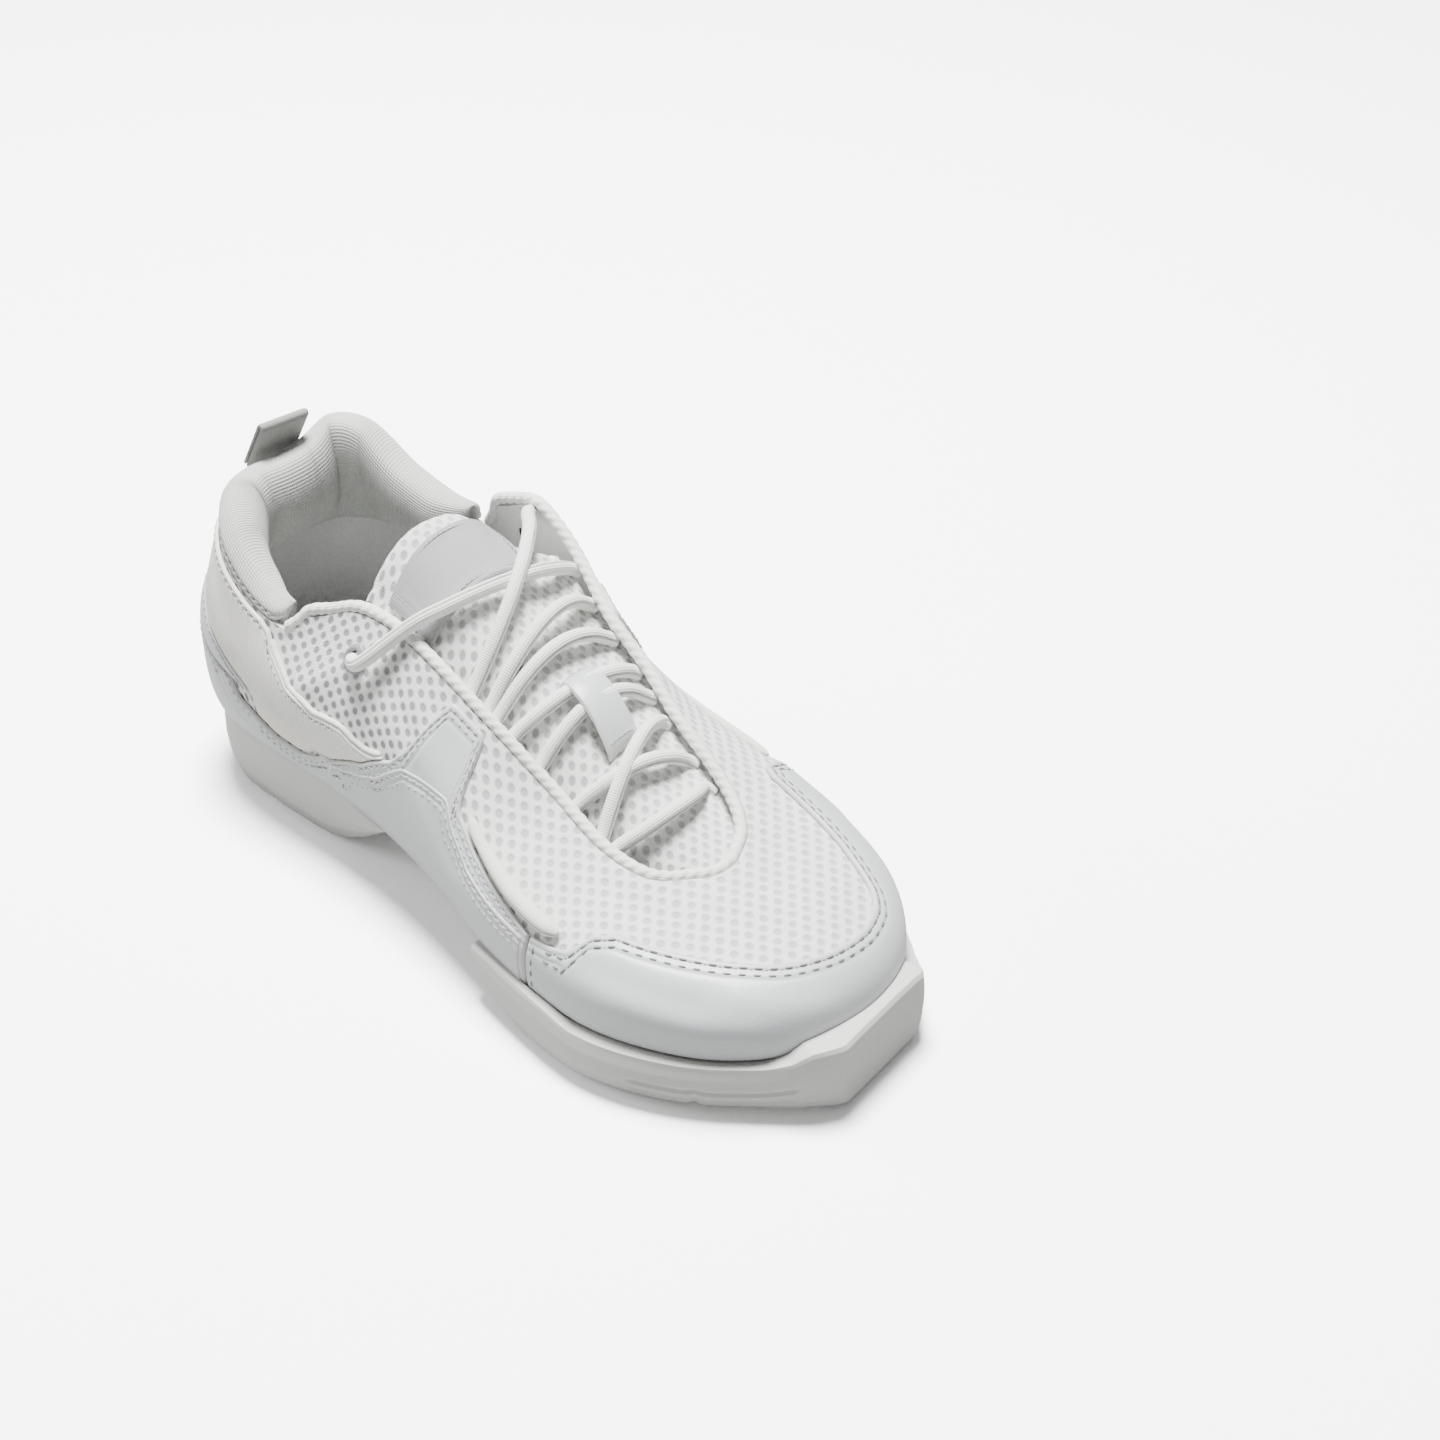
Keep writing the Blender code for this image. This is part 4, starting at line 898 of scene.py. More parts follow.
def rubber_finish():
    """Warm white moulded rubber, a little dusty in patches."""
    made = Finish("white moulded rubber", (0.60, 0.60, 0.58), 0.52)
    n = made.nodes
    grain = made.use(GRAIN, Place=made.place(), Grain=1500.0)
    tone = n.mix(grain["Tone"], made.colour, (0.56, 0.56, 0.54, 1.0))
    made.paint(n.mix(n.math("MULTIPLY", grain["Wear"], 0.25), tone, (0.53, 0.525, 0.49, 1.0)))
    made.rough(n.math("ADD", 0.48, n.math("MULTIPLY", grain["Tone"], 0.12)))
    made.bump(grain["Height"], 0.00004)
    made.bump(n.noise(made.place(), 35.0, 2.0), 0.0004)
    made.set(Specular_IOR_Level=0.4)
    return made.material


def cord_finish(name, colour, pitch, slant, depth, dark):
    """Woven round cord, with its braid along and round it."""
    made = Finish(name, colour, 0.8)
    n = made.nodes
    weave = made.use(WEAVE, Pattern=made.uv(), Pitch=pitch, Slant=slant)
    tone = n.noise(made.place(), 150.0, 3.0)
    base = n.mix(tone, made.colour, toned(colour, 0.95))
    made.paint(n.mix(weave["Shade"], dark, base))
    made.bump(weave["Height"], depth)
    made.bump(n.noise(made.place(), 3000.0, 2.0), 0.00006)
    made.set(Sheen_Weight=0.25, Sheen_Roughness=0.4)
    return made.material


def satin_finish(name, colour, pitch, roughness):
    """Grey woven satin, with a soft sheen along its threads."""
    made = Finish(name, colour, roughness)
    n = made.nodes
    weave = made.use(WEAVE, Pattern=made.uv(), Pitch=pitch, Slant=0.6)
    long_way = n.node("ShaderNodeMapping")
    long_way.inputs["Scale"].default_value = (90.0, 1400.0, 1.0)
    n.feed(long_way.inputs["Vector"], made.uv())
    streak = n.noise(long_way.outputs[0], 1.0, 2.0)
    made.paint(n.mix(n.ramp(streak, 0.3, 0.7), made.colour, toned(colour, 1.07)))
    made.rough(n.math("ADD", roughness, n.math("MULTIPLY", streak, 0.12)))
    made.bump(weave["Height"], 0.00006)
    made.set(Sheen_Weight=0.35, Sheen_Roughness=0.3)
    return made.material


def foam_finish():
    """Grey insole cloth over foam."""
    made = Finish("grey insole cloth", (0.50, 0.51, 0.50), 0.92)
    n = made.nodes
    weave = made.use(WEAVE, Pattern=made.place(), Pitch=1.2, Slant=1.0)
    made.paint(n.mix(weave["Shade"], (0.40, 0.41, 0.40, 1.0), made.colour))
    made.bump(weave["Height"], 0.0001)
    return made.material


def plain_finish(name, colour, roughness, speck=1200.0):
    """A small part's finish with a little grain."""
    made = Finish(name, colour, roughness)
    n = made.nodes
    spots = n.noise(made.place(), speck, 3.0)
    made.paint(n.mix(n.ramp(spots, 0.35, 0.7), made.colour, toned(colour, 0.86)))
    made.bump(spots, 0.00004)
    return made.material


# The camera: degrees round from the front and up, metres from its aim, and its lens in millimetres
CAMERA_AZIMUTH = 42.91
CAMERA_ELEVATION = 35.89
CAMERA_DISTANCE = 0.8492
CAMERA_AIM = (0.11285, 0.09615, 0.0)
CAMERA_LENS = 62.91


def set_camera():
    """The photograph's view."""
    azimuth, elevation = math.radians(CAMERA_AZIMUTH), math.radians(CAMERA_ELEVATION)
    flat = math.cos(elevation)
    back = Vector((math.sin(azimuth) * flat, -math.cos(azimuth) * flat, math.sin(elevation)))
    data = bpy.data.cameras.new("photo_camera")
    data.sensor_width = 36.0
    data.lens = CAMERA_LENS
    camera = placed("photo_camera", data)
    camera.location = Vector(CAMERA_AIM) + Vector(SHIFT) + CAMERA_DISTANCE * back
    camera.rotation_euler = back.to_track_quat("Z", "Y").to_euler()
    bpy.context.scene.camera = camera


set_camera()

# Painted shade in the mesh's holes: where the mesh faces up, and where it stands steep
UPWARD_HOLE_SHADE, STEEP_HOLE_SHADE = (0.54, 0.54, 0.54, 1.0), (0.20, 0.20, 0.21, 1.0)
CLOTH = net_finish("white mesh", 0.90, 0.0003)
TONGUE_CLOTH = net_finish("white tongue mesh", 0.80, 0.00028)
LEATHER = leather_finish("smooth white coated leather", (0.545, 0.56, 0.57), 0.42, 0.18)
RIBBED = ribbed_finish()
KNIT = knit_finish()
LINING = plain_finish("pale lining", (0.72, 0.72, 0.71), 0.9, 2400.0)
RUBBER = rubber_finish()
LACE_CORD = cord_finish("off-white woven lace", (0.90, 0.90, 0.87), 1.5, 1.0, 0.0001, (0.76, 0.76, 0.72, 1.0))
ROPE = cord_finish("off-white twisted piping", (0.88, 0.88, 0.85), 1.2, 0.7, 0.00006, (0.74, 0.74, 0.70, 1.0))
PUFF = cord_finish("cream side cord", (0.86, 0.85, 0.79), 1.1, 0.8, 0.00008, (0.76, 0.75, 0.68, 1.0))
SATIN = satin_finish("grey satin", (0.38, 0.38, 0.385), 0.5, 0.42)
WEBBING = satin_finish("grey webbing", (0.26, 0.26, 0.25), 1.1, 0.6)
FOAM = foam_finish()
RING = plain_finish("grey eyelet", (0.24, 0.245, 0.25), 0.4)
THREAD = plain_finish("pale thread", (0.46, 0.46, 0.43), 0.7, 3000.0)
CAP_THREAD = plain_finish("grey thread", (0.20, 0.20, 0.21), 0.7, 3000.0)
# Painted shade: the dark colour of the needle holes between stitches
NEEDLE_HOLE_SHADE = plain_finish("shaded needle holes", (0.16, 0.16, 0.155), 0.9)

# The lacing. Each run: the throat edge's u on the outer side, x over the middle of the tongue as a share
# of LENGTH, the edge's u on the inner side, and how far it lifts where it passes over another.
EYELETS = ((6.40, 0.79), (ROUND - 6.55, 0.83))
LACES = {
    "lace_front": ((11.1, 0.706, 20.05, 0.0),),
    "lace_lower": ((10.25, 0.648, 20.95, 0.0), (10.8, 0.630, 22.0, 1.0)),
    "lace_middle_rear": ((9.15, 0.550, 23.05, 0.0),),
    "lace_middle_front": ((9.6, 0.568, 22.55, 0.0),),
    "lace_upper": ((8.72, 0.486, 24.3, 1.0), (8.86, 0.502, 23.7, 0.0)),
    "lace_top": ((6.40, 0.447, 24.9, 1.0), (8.4, 0.452, 26.0, 0.0)),
}
# The tongue, front to back, as shares of LENGTH
TONGUE_ROWS = (
    (0.800, 0.1450, 0.060, 0.024), (0.775, 0.1560, 0.070, 0.034), (0.745, 0.1660, 0.078, 0.046),
    (0.672, 0.2060, 0.094, 0.074), (0.600, 0.2460, 0.104, 0.092), (0.520, 0.2880, 0.106, 0.100),
    (0.466, 0.3280, 0.106, 0.110), (0.410, 0.3610, 0.102, 0.116), (0.360, 0.3900, 0.098, 0.120),
    (0.325, 0.4060, 0.094, 0.120), (0.306, 0.4100, 0.090, 0.120),
)
TONGUE_MIDDLE = 0.0042


def tongue_column(x, column):
    rows = np.array(TONGUE_ROWS)[::-1] * LENGTH
    return np.interp(x, rows[:, 0], rows[:, column])


def tongue_top(x, y):
    """Height of the tongue's upper face."""
    rise, half, drop = (tongue_column(x, k) for k in (1, 2, 3))
    return rise - drop * (np.abs(y - TONGUE_MIDDLE) / half) ** 2.4


def inner_edge_at(x):
    """Where the throat's inner edge lies at this x: its y and height."""
    edge = skin_on_last(np.linspace(19.2, 26.8, 60), 1.0)
    order = np.argsort(edge[:, 0])
    return [np.interp(x, edge[order, 0], edge[order, k]) for k in (1, 2)]


def even_tongue_top(x, y):
    """The same height, evened out along the tongue."""
    steps = np.linspace(-TONGUE_EVEN, TONGUE_EVEN, 7)
    return sum(tongue_top(x + step, y) for step in steps) / len(steps)


def soft_tongue_top(x, y):
    """Height of the tongue's soft face, held up under the throat's inner edge."""
    own = even_tongue_top(x, y)
    crest = even_tongue_top(x, TONGUE_MIDDLE)
    edge_y, edge_z = inner_edge_at(x)
    share = np.clip((y - TONGUE_MIDDLE) / np.maximum(edge_y - 0.0045 - TONGUE_MIDDLE, 0.004), 0.0, 1.15)
    held = crest + (np.minimum(edge_z - 0.0046, crest + 0.004) - crest) * share**1.6
    flatter = 0.34 * (1.0 - smooth_step(x, 0.40 * LENGTH, 0.50 * LENGTH))
    own = own + flatter * np.where(np.asarray(y) < TONGUE_MIDDLE, crest - own, 0.0)
    held = np.where(np.asarray(y) > TONGUE_MIDDLE, np.maximum(held, own), own)
    return own + (held - own) * smooth_step(x, 0.088, 0.104)


def edge_point(u):
    """Middle of the piping on the throat's edge."""
    edge = skin(u, 1.0, -0.5 * WALL)
    rise = edge - skin(u, 0.97, -0.5 * WALL)
    return edge + unit(rise) * (PIPING + GAP)


def lace_end(u):
    """Where a lace run goes down under the throat's edge, and the point that it came from."""
    row, widest, way = frame_of(np.asarray(float(u)))
    way = np.array((way[0], way[1], 0.0))
    beside = edge_point(u) - way * (PIPING + 0.0018 + 1.4 * LACE * abs(way[0])) - (0.0, 0.0, 0.0022)
    return beside, beside + way * 0.0036 - (0.0, 0.0, 0.0026)


def lace_path(start, middle, end, over):
    """One run of lace over the tongue, drawn tight from the outer edge of the throat to the inner one."""
    last, last_down = lace_end(end)
    if start == EYELETS[0][0]:
        v = EYELETS[0][1]
        crest_point = edge_point(start + 0.95) + (0.0, -0.0002, PIPING + LACE + 6.0 * GAP)
        first = [skin(start - 0.03, v - 0.012, -0.0016), skin(start + 0.05, v, 0.0026)]
        first += [skin(start + 0.36, v + 0.03, 0.0046), crest_point]
    else:
        beside, down = lace_end(start)
        first = [down, beside]
    from_point, to_point = first[-1], last
    shares = np.linspace(0.0, 1.0, 13)[1:-1]
    arc = 4.0 * shares * (1.0 - shares)
    plans = from_point[:2] + np.outer(shares, to_point[:2] - from_point[:2])
    plans[:, 0] += 0.6 * (middle * LENGTH - 0.5 * (from_point[0] + to_point[0])) * arc
    lift = LACE_RADIUS + LACE_CLEAR + over * LACE_OVER * np.exp(-(((plans[:, 1] - 0.002) / 0.014) ** 2))
    line = from_point[2] + (to_point[2] - from_point[2]) * shares
    need = soft_tongue_top(plans[:, 0], plans[:, 1]) + lift
    rise = max(0.0, float(((need - line) / arc)[1:-1].max()))
    crest = [np.array((*plan, height)) for plan, height in zip(plans, line + rise * arc)][1:-1:2]
    return first + crest + [last, last_down]


def finished(piece, slot, *nodes):
    """A piece that rides on the shoe and stands for these solids; slot is not used."""
    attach(piece, "root")
    if nodes:
        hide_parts(*nodes)
    return piece


def sewn(name, rows, pitch, thread=THREAD, **sizes):
    """Rows of stitches as a piece of their own."""
    finished(stitches(name, rows, pitch, thread, NEEDLE_HOLE_SHADE, **sizes), "off-white cord")


def build_laces():
    """Woven laces, each run its own cord from one edge of the throat to the other."""
    for name, runs in LACES.items():
        for number, run in enumerate(runs, 1):
            label = f"{name}_cord" if len(runs) == 1 else f"{name}_cord_{number}"
            lace, route = tube(label, lace_path(*run), LACE_RADIUS, LACE_CORD, sides=16, spacing=0.0009)
            finished(lace, "off-white cord", name)


def rim_at(u):
    """Height of the upper's cut edge, as v."""
    return edge_at(RIM, (u + 9.0) % ROUND - 9.0, 0.03)


def build_upper():
    """The mesh upper with its lining, open along the foot, at the throat and under the collar."""
    outer = np.concatenate((np.linspace(0.0, 0.16, 11), np.linspace(0.18, 1.0, 34)))
    inner = np.linspace(1.0, 0.0, 26)
    stations = np.arange(0.0, ROUND, 0.075)
    rings, uv = [], []
    for u in stations:
        top = rim_at(u)
        v = np.concatenate((outer * top, inner * top))
        out = np.concatenate((relief(u, outer * top), np.full(len(inner), -WALL)))
        rings.append(skin(u, v, out))
        uv.append(flat_pattern(u, v))
    upper = loft("upper_mesh", rings, CLOTH, uv=uv, closed=True)
    upper.data.materials.append(LINING)
    row = np.arange(len(stations) * (len(outer) + len(inner))) % (len(outer) + len(inner))
    upper.data.polygons.foreach_set("material_index", (row >= len(outer) - 1).astype(np.int32))
    edit = bmesh.new()
    edit.from_mesh(upper.data)
    near = []
    for u, v in EYELETS:
        middle = Vector(skin(u, v, -0.5 * WALL) + SHIFT)
        for face in edit.faces:
            if (face.calc_center_median() - middle).length < EYELET_HOLE:
                near.append(face)
    bmesh.ops.delete(edit, geom=list(set(near)), context="FACES")
    edit.to_mesh(upper.data)
    edit.free()
    return finished(upper, "white mesh", "upper")


SMOOTH = "smooth white coated leather"
PANEL_FOOT = 0.0014  # how far above the upper's bottom edge the panels start


def side_edges(stations):
    return foot_v(stations, PANEL_FOOT), edge_at(SIDE_EDGE, stations)


def cap_edges(stations):
    return foot_v(stations, PANEL_FOOT), edge_at(CAP_EDGE, stations)


def band_edges(stations):
    low = edge_at(SIDE_EDGE, stations) + 0.012
    return low, np.maximum(edge_at(BAND_EDGE, stations), low + 0.016)


def panel(name, table, edges, finish, slot, *nodes, **sewing):
    """A piece sewn on the mesh over its table's length, between the two edges that a function gives."""
    stations = even_stations(table)
    finished(overlay(name, stations, *edges(stations), finish, **sewing), slot, *nodes)


def build_panels():
    """The smooth and the ribbed panels sewn on the mesh, each with its seams pulled in."""
    panel("side_panel_leather", SIDE_EDGE, side_edges, LEATHER, SMOOTH, "side_panel", seams=SIDE_SEAMS)
    panel("toe_cap_leather", CAP_EDGE, cap_edges, LEATHER, SMOOTH, "toe_cap", seams=CAP_SEAMS)
    panel("heel_band_leather", BAND_EDGE, band_edges, LEATHER, SMOOTH, "heel_band", seams=BAND_SEAMS)
    ribbed = "cream ribbed leather"
    panel("quarter_panel_leather", RIB_EDGE, quarter_edges, RIBBED, ribbed, "quarter_panel", seams=RIB_SEAMS)
    for name, table in (("arch_facing_outer", ARCH_SEAM), ("arch_facing_inner", flipped(ARCH_SEAM))):

        def edges(stations, table=table):
            return foot_v(stations, PANEL_FOOT) + 0.004, edge_at(table, stations)

        base = GAP + OVERLAY - 0.0002
        panel(name, table, edges, LEATHER, SMOOTH, seams=SIDE_SEAMS, base=base, thick=0.00055, bevel=0.0005)


def quarter_edges(stations):
    """Lower and upper edge of the ribbed panel."""
    low = edge_at(SIDE_EDGE, stations) + 0.005
    over_band = np.maximum(edge_at(BAND_EDGE, stations), low + 0.02) + 0.014
    low = low + (over_band - low) * (1.0 - smooth_step(np.abs(stations), 4.05, 4.25))
    high = np.maximum(edge_at(RIB_EDGE, stations), low + 0.02)
    return low, low + (high - low) * (1.0 - 0.86 * smooth_step(np.abs(stations), 6.35, 7.5))


def flipped(table):
    """A table of the outer side, on the inner side in the order of u."""
    return tuple((ROUND - row[0], *row[1:]) for row in reversed(table))


def build_stitches():
    """Every sewn seam of the panels."""
    high = GAP + OVERLAY - 0.00022
    rows = []
    for low_u, high_u in ((-10.85, -4.25), (4.25, 10.85)):
        rows += [edge_row(SIDE_EDGE, low_u, high_u, inside, high) for inside in SIDE_SEAMS]
    rows.append(edge_row(SIDE_EDGE, -4.1, 4.1, SIDE_SEAMS[0], high))
    sewn("side_panel_stitches", rows, 0.0030)
    rows = [edge_row(CAP_EDGE, 11.3, 21.7, inside, high) for inside in CAP_SEAMS]
    rows += [upright_row(u, 0.10, 0.33, high) for u in (10.86, ROUND - 10.86, 11.14, ROUND - 11.17)]
    sewn("toe_cap_stitches", rows, 0.0042, CAP_THREAD, width=0.00036, dash=0.60)
    sewn("heel_band_stitches", [edge_row(BAND_EDGE, -3.95, 3.95, BAND_SEAMS[0], high)], 0.0030)
    spans = ((-6.3, -4.3), (4.3, 6.3), (-4.2, 4.2))
    rows = [edge_row(RIB_EDGE, low_u, high_u, RIB_SEAMS[0], high) for low_u, high_u in spans]
    sewn("quarter_panel_stitches", rows, 0.0028)
    rows = []
    for table in (ARCH_SEAM, flipped(ARCH_SEAM)):
        low_u, high_u = table[0][0] + 0.1, table[-1][0] - 0.1
        rows += [edge_row(table, low_u, high_u, inside, high + SEAM_CLEAR) for inside in SIDE_SEAMS]
    sewn("arch_facing_stitches", rows, 0.0030)


def upright_row(u, low, high, out):
    """A row straight up the upper."""
    v = np.linspace(low, high, 60)
    return skin(u, v, out + relief(u, v)), normal_at(u, v)


def rounded_ring(ring, radius=0.0009):
    """A closed polygon with its corners cut and rounded, always to the same number of points."""
    after = np.roll(ring, -1, axis=0)
    length = np.maximum(np.linalg.norm(after - ring, axis=1, keepdims=True), 1e-9)
    share = np.minimum(radius / length, 0.32)
    points = np.stack((ring, ring + (after - ring) * share, after - (after - ring) * share), axis=1)
    points = points.reshape(-1, 3)
    for _ in range(2):
        after = np.roll(points, -1, axis=0)
        points = np.stack((0.75 * points + 0.25 * after, 0.25 * points + 0.75 * after), axis=1).reshape(-1, 3)
    return np.roll(points, 7, axis=0)  # so that the two halves mirror each other again


def flat_front(points, inside=0.0):
    """Points past the bumper's flat front face, brought back to it."""
    face = np.array((math.cos(FACE_TURN), math.sin(FACE_TURN), 0.0))
    past = np.clip(points @ face - (FACE_OUT - inside), 0.0, None)
    return points - past[..., None] * face


def sole_side(u, out, under, ground, rim, lip, groove=0.0):
    """Half of a sole unit's section, from its foot up the wall and over the rim to the pocket's floor."""
    row, widest, way = frame_of(np.asarray(u, float))
    way = np.array((way[0], way[1], 0.0))
    base = np.array((widest[0], widest[1], 0.0))
    size = HEEL_BED
    up = np.array((0.0, 0.0, 1.0))
    foot = flat_front(base + way * (out - under) * size, 0.0008)
    points = [foot + up * ground * size]
    for height, inside, grooved in FORE_WALL if lip else HEEL_WALL:
        z = ground + (rim - ground) * height
        wall = flat_front(base + way * (out - under * inside) * size)
        points.append(wall - way * groove * grooved + up * z * size)
    tuck = row["tuck"] * LATERAL
    floor = float(bed(base[0] - tuck * way[0]))
    if lip:
        v = float(foot_v(u, max(rim * size - floor, 0.0006)))
        hold = skin_on_last(u, v) + way * SOLE_LIP
        crown = flat_front(base + way * (out - 0.05) * size, 0.0010)
        if np.dot(crown - hold, way) < 0.0006:
            crown = hold + way * 0.0006
        crown[2] = hold[2] = max(rim * size, floor + 0.0006)
        low = skin_on_last(u, min(0.05, 0.6 * v)) + way * SOLE_LIP
        low[2] = floor + 0.0002
        points += [crown, hold, low, base - way * tuck * 1.6 + up * floor]
    else:
        points += [base + way * (out - 0.05) * size + up * rim * size]
        points += [base + way * (out - 0.13) * size + up * floor, base - way * tuck * 0.8 + up * floor]
        points += [base - way * tuck * 1.3 + up * floor]
    return np.array(points)


def build_unit(name, node, table, lip):
    """One of the two moulded sole units, with rounded edges."""
    first, last = table[0][0], table[-1][0]
    low, high = min(first, last), max(first, last)
    close = np.array((0.002, 0.006, 0.014, 0.028, 0.05))
    stations = np.unique(np.concatenate((np.linspace(low, high, 170), low + close, high - close)))
    ordered = sorted(table)
    rings = []
    for s in stations if first < last else stations[::-1]:
        out, inner, under, ground, rim = (float(edge_at(ordered, s, 0.035, k)) for k in range(1, 6))
        groove = GROOVE * smooth_step(s, GROOVED[0] - 0.05, GROOVED[0] + 0.05)
        groove *= 1.0 - smooth_step(s, GROOVED[1] - 0.05, GROOVED[1] + 0.05)
        outer_side = sole_side(s, out, under, ground, rim, lip, groove if lip else 0.0)
        inner_side = sole_side(across(s), inner, under, ground, rim, lip)
        rings.append(rounded_ring(np.concatenate((outer_side, inner_side[::-1]))))
    unit = loft(name, rings, RUBBER, folded=True, smooth=35.0)
    return finished(unit, "white rubber", node)


def build_insole():
    """The grey insole in the foot of the upper."""
    rings = []
    for s in np.linspace(0.72, 16.22, 150):
        edges = [skin(u, float(foot_v(u, 0.0009)), -WALL - 0.0020) for u in (s, across(s))]
        floor = 0.5 * (edges[0] + edges[1])
        floor[2] = float(bed(floor[0])) + 0.0036
        share = np.linspace(-1.0, 1.0, 41)[:, None]
        low = np.where(share < 0.0, edges[0], edges[1]) * np.abs(share) + floor * (1.0 - np.abs(share))
        thick = INSOLE * np.sqrt(np.clip(1.0 - np.abs(share) ** 12, 0.02, 1.0))
        rings.append(np.concatenate((low + thick * (0.0, 0.0, 1.0), low[::-1])))
    return finished(loft("insole_cloth", rings, FOAM), "grey foam", "insole")


def build_tongue():
    """The padded mesh tongue with its soft edge, the satin label and the strap that keeps the laces."""
    rows = np.array(TONGUE_ROWS)[::-1] * LENGTH
    first, last = rows[0, 0], rows[-1, 0]
    stations = first + (last - first) * np.linspace(0.0, 1.0, 130)
    w = np.sin(np.linspace(-0.5, 0.5, 61) * math.pi)
    rings, uv = [], []
    for x0 in stations:
        half = tongue_column(x0, 2)
        near = min(x0 - first, last - x0)
        end = rolled(near, 0.0030)
        skew = 0.20 * smooth_step(0.45 * LENGTH, x0, x0 + 0.12 * LENGTH) if x0 < 0.45 * LENGTH else 0.0
        scallop = 0.0005 * math.sin(x0 * 2.0 * math.pi / 0.011)
        y = TONGUE_MIDDLE + w * (half + scallop)
        x = x0 + skew * (y - TONGUE_MIDDLE)
        full = 0.18 + 0.82 * np.sqrt(np.clip(1.0 - np.abs(w) ** 5, 0.0, 1.0))
        thick = TONGUE * 1.1 * full * (0.3 + 0.7 * end)
        pull = 0.0007 * np.exp(-(((np.abs(w) - 0.90) / 0.022) ** 2))
        pull = pull + 0.0006 * math.exp(-(((x0 - first - 0.0062) / 0.0010) ** 2))
        z = soft_tongue_top(x0, y) - 0.0003
        rise = (1.0 - end) * 0.0012
        face = np.stack((x, y, z - pull - rise), axis=-1)
        back = np.stack((x, y, z - thick), axis=-1)
        rings.append(np.concatenate((face, back[::-1])))
        pattern = np.stack((x, TONGUE_MIDDLE + (y - TONGUE_MIDDLE) * 1.12), axis=-1)
        uv.append(np.concatenate((pattern, pattern[::-1])))
    tongue = finished(loft("tongue_pad", rings, TONGUE_CLOTH, uv=uv), "white mesh", "tongue")
    build_label()
    build_keeper()


def label_point(share_x, share_y, lift):
    x = LABEL_CORNER[0] + 0.001 * LABEL_SIZE[0] * share_x
    y = LABEL_CORNER[1] + 0.001 * LABEL_SIZE[1] * share_y
    return np.array((x + LABEL_SKEW * (y - TONGUE_MIDDLE), y, soft_tongue_top(x, y) + lift))


def sheet(point, size, counts, lifts):
    """Rings, flat pattern and distances from the edge of a small sheet of this size in millimetres.

    point gives its places, and lifts how high its two faces lie there.
    """
    rings, uv, rim = [], [], []
    for x in np.linspace(0.0, 1.0, counts[0]):
        face, back, flat, from_edge = [], [], [], []
        for y in np.linspace(0.0, 1.0, counts[1]):
            off = min(x * size[0], (1.0 - x) * size[0], y * size[1], (1.0 - y) * size[1])
            high, low = lifts(x, y, off)
            face.append(point(x, y, high))
            back.append(point(x, y, low))
            flat.append((0.001 * size[0] * x, 0.001 * size[1] * y))
            from_edge.append(off)
        rings.append(face + back[::-1])
        uv.append(flat + flat[::-1])
        rim.append(from_edge + [0.0] * counts[1])
    return rings, uv, np.array(rim)


def straight_seam(point, start, end, lift, count):
    """A straight row of stitches on a small sheet."""
    start, end = np.array(start), np.array(end)
    path = [point(*(start + (end - start) * t), lift) for t in np.linspace(0.0, 1.0, count)]
    return np.array(path), np.tile((0.0, 0.0, 1.0), (count, 1))


def label_lifts(x, y, off):
    """Heights of the label's two faces: turned in at its edges, pulled in by its seam, a little wavy."""
    fold = 0.00030 * (1.0 - float(smooth_step(off, 2.6, 3.3)))
    pull = 0.00022 * math.exp(-(((off - 1.7) / 0.4) ** 2))
    wave = 0.00025 * math.sin(y * 9.0 + 2.0 * x)
    return 0.0011 + (0.0006 + fold) * rolled(off, 0.6) - pull + wave, 0.0009 + wave


def build_label():
    """The tongue's woven label, turned in at its edges and sewn round."""
    rings, uv, _ = sheet(label_point, LABEL_SIZE, (44, 80), label_lifts)
    finished(loft("tongue_label_satin", rings, SATIN, uv=uv), "grey satin", "tongue_label")
    x, y = (1.7 / side for side in LABEL_SIZE)
    corners = ((x, y), (1.0 - x, y), (1.0 - x, 1.0 - y), (x, 1.0 - y))
    rows = [straight_seam(label_point, corners[n - 1], corners[n], 0.00185, 60) for n in (1, 2, 3, 0)]
    sewn("label_stitches", rows, 0.0019, width=0.00022)


def keeper_point(share, side, lift):
    x = (KEEPER_START + KEEPER_RUN * share) * LENGTH
    y = KEEPER_SIDE + 0.001 * KEEPER_SIZE[1] * side - KEEPER_SLANT * share
    arch = 0.0007 + KEEPER_RISE * math.sin(math.pi * min(max(share, 0.0), 1.0)) ** 0.55
    return np.array((x, y, soft_tongue_top(x, y) + arch + lift))


def keeper_lifts(x, y, off):
    return 0.0005 + 0.0007 * rolled(off, 0.6), 0.0002


def build_keeper():
    """The smooth strap over the middle laces, sewn down at both ends."""
    rings, uv, rim = sheet(keeper_point, KEEPER_SIZE, (70, 26), keeper_lifts)
    strap = loft("lace_keeper_strap", rings, LEATHER, uv=uv, masks={"rim": rim})
    finished(strap, SMOOTH, "lace_keeper")
    rows = [straight_seam(keeper_point, (share, 0.10), (share, 0.90), 0.00118, 40) for share in (0.05, 0.95)]
    sewn("keeper_stitches", rows, 0.0019, width=0.00024)


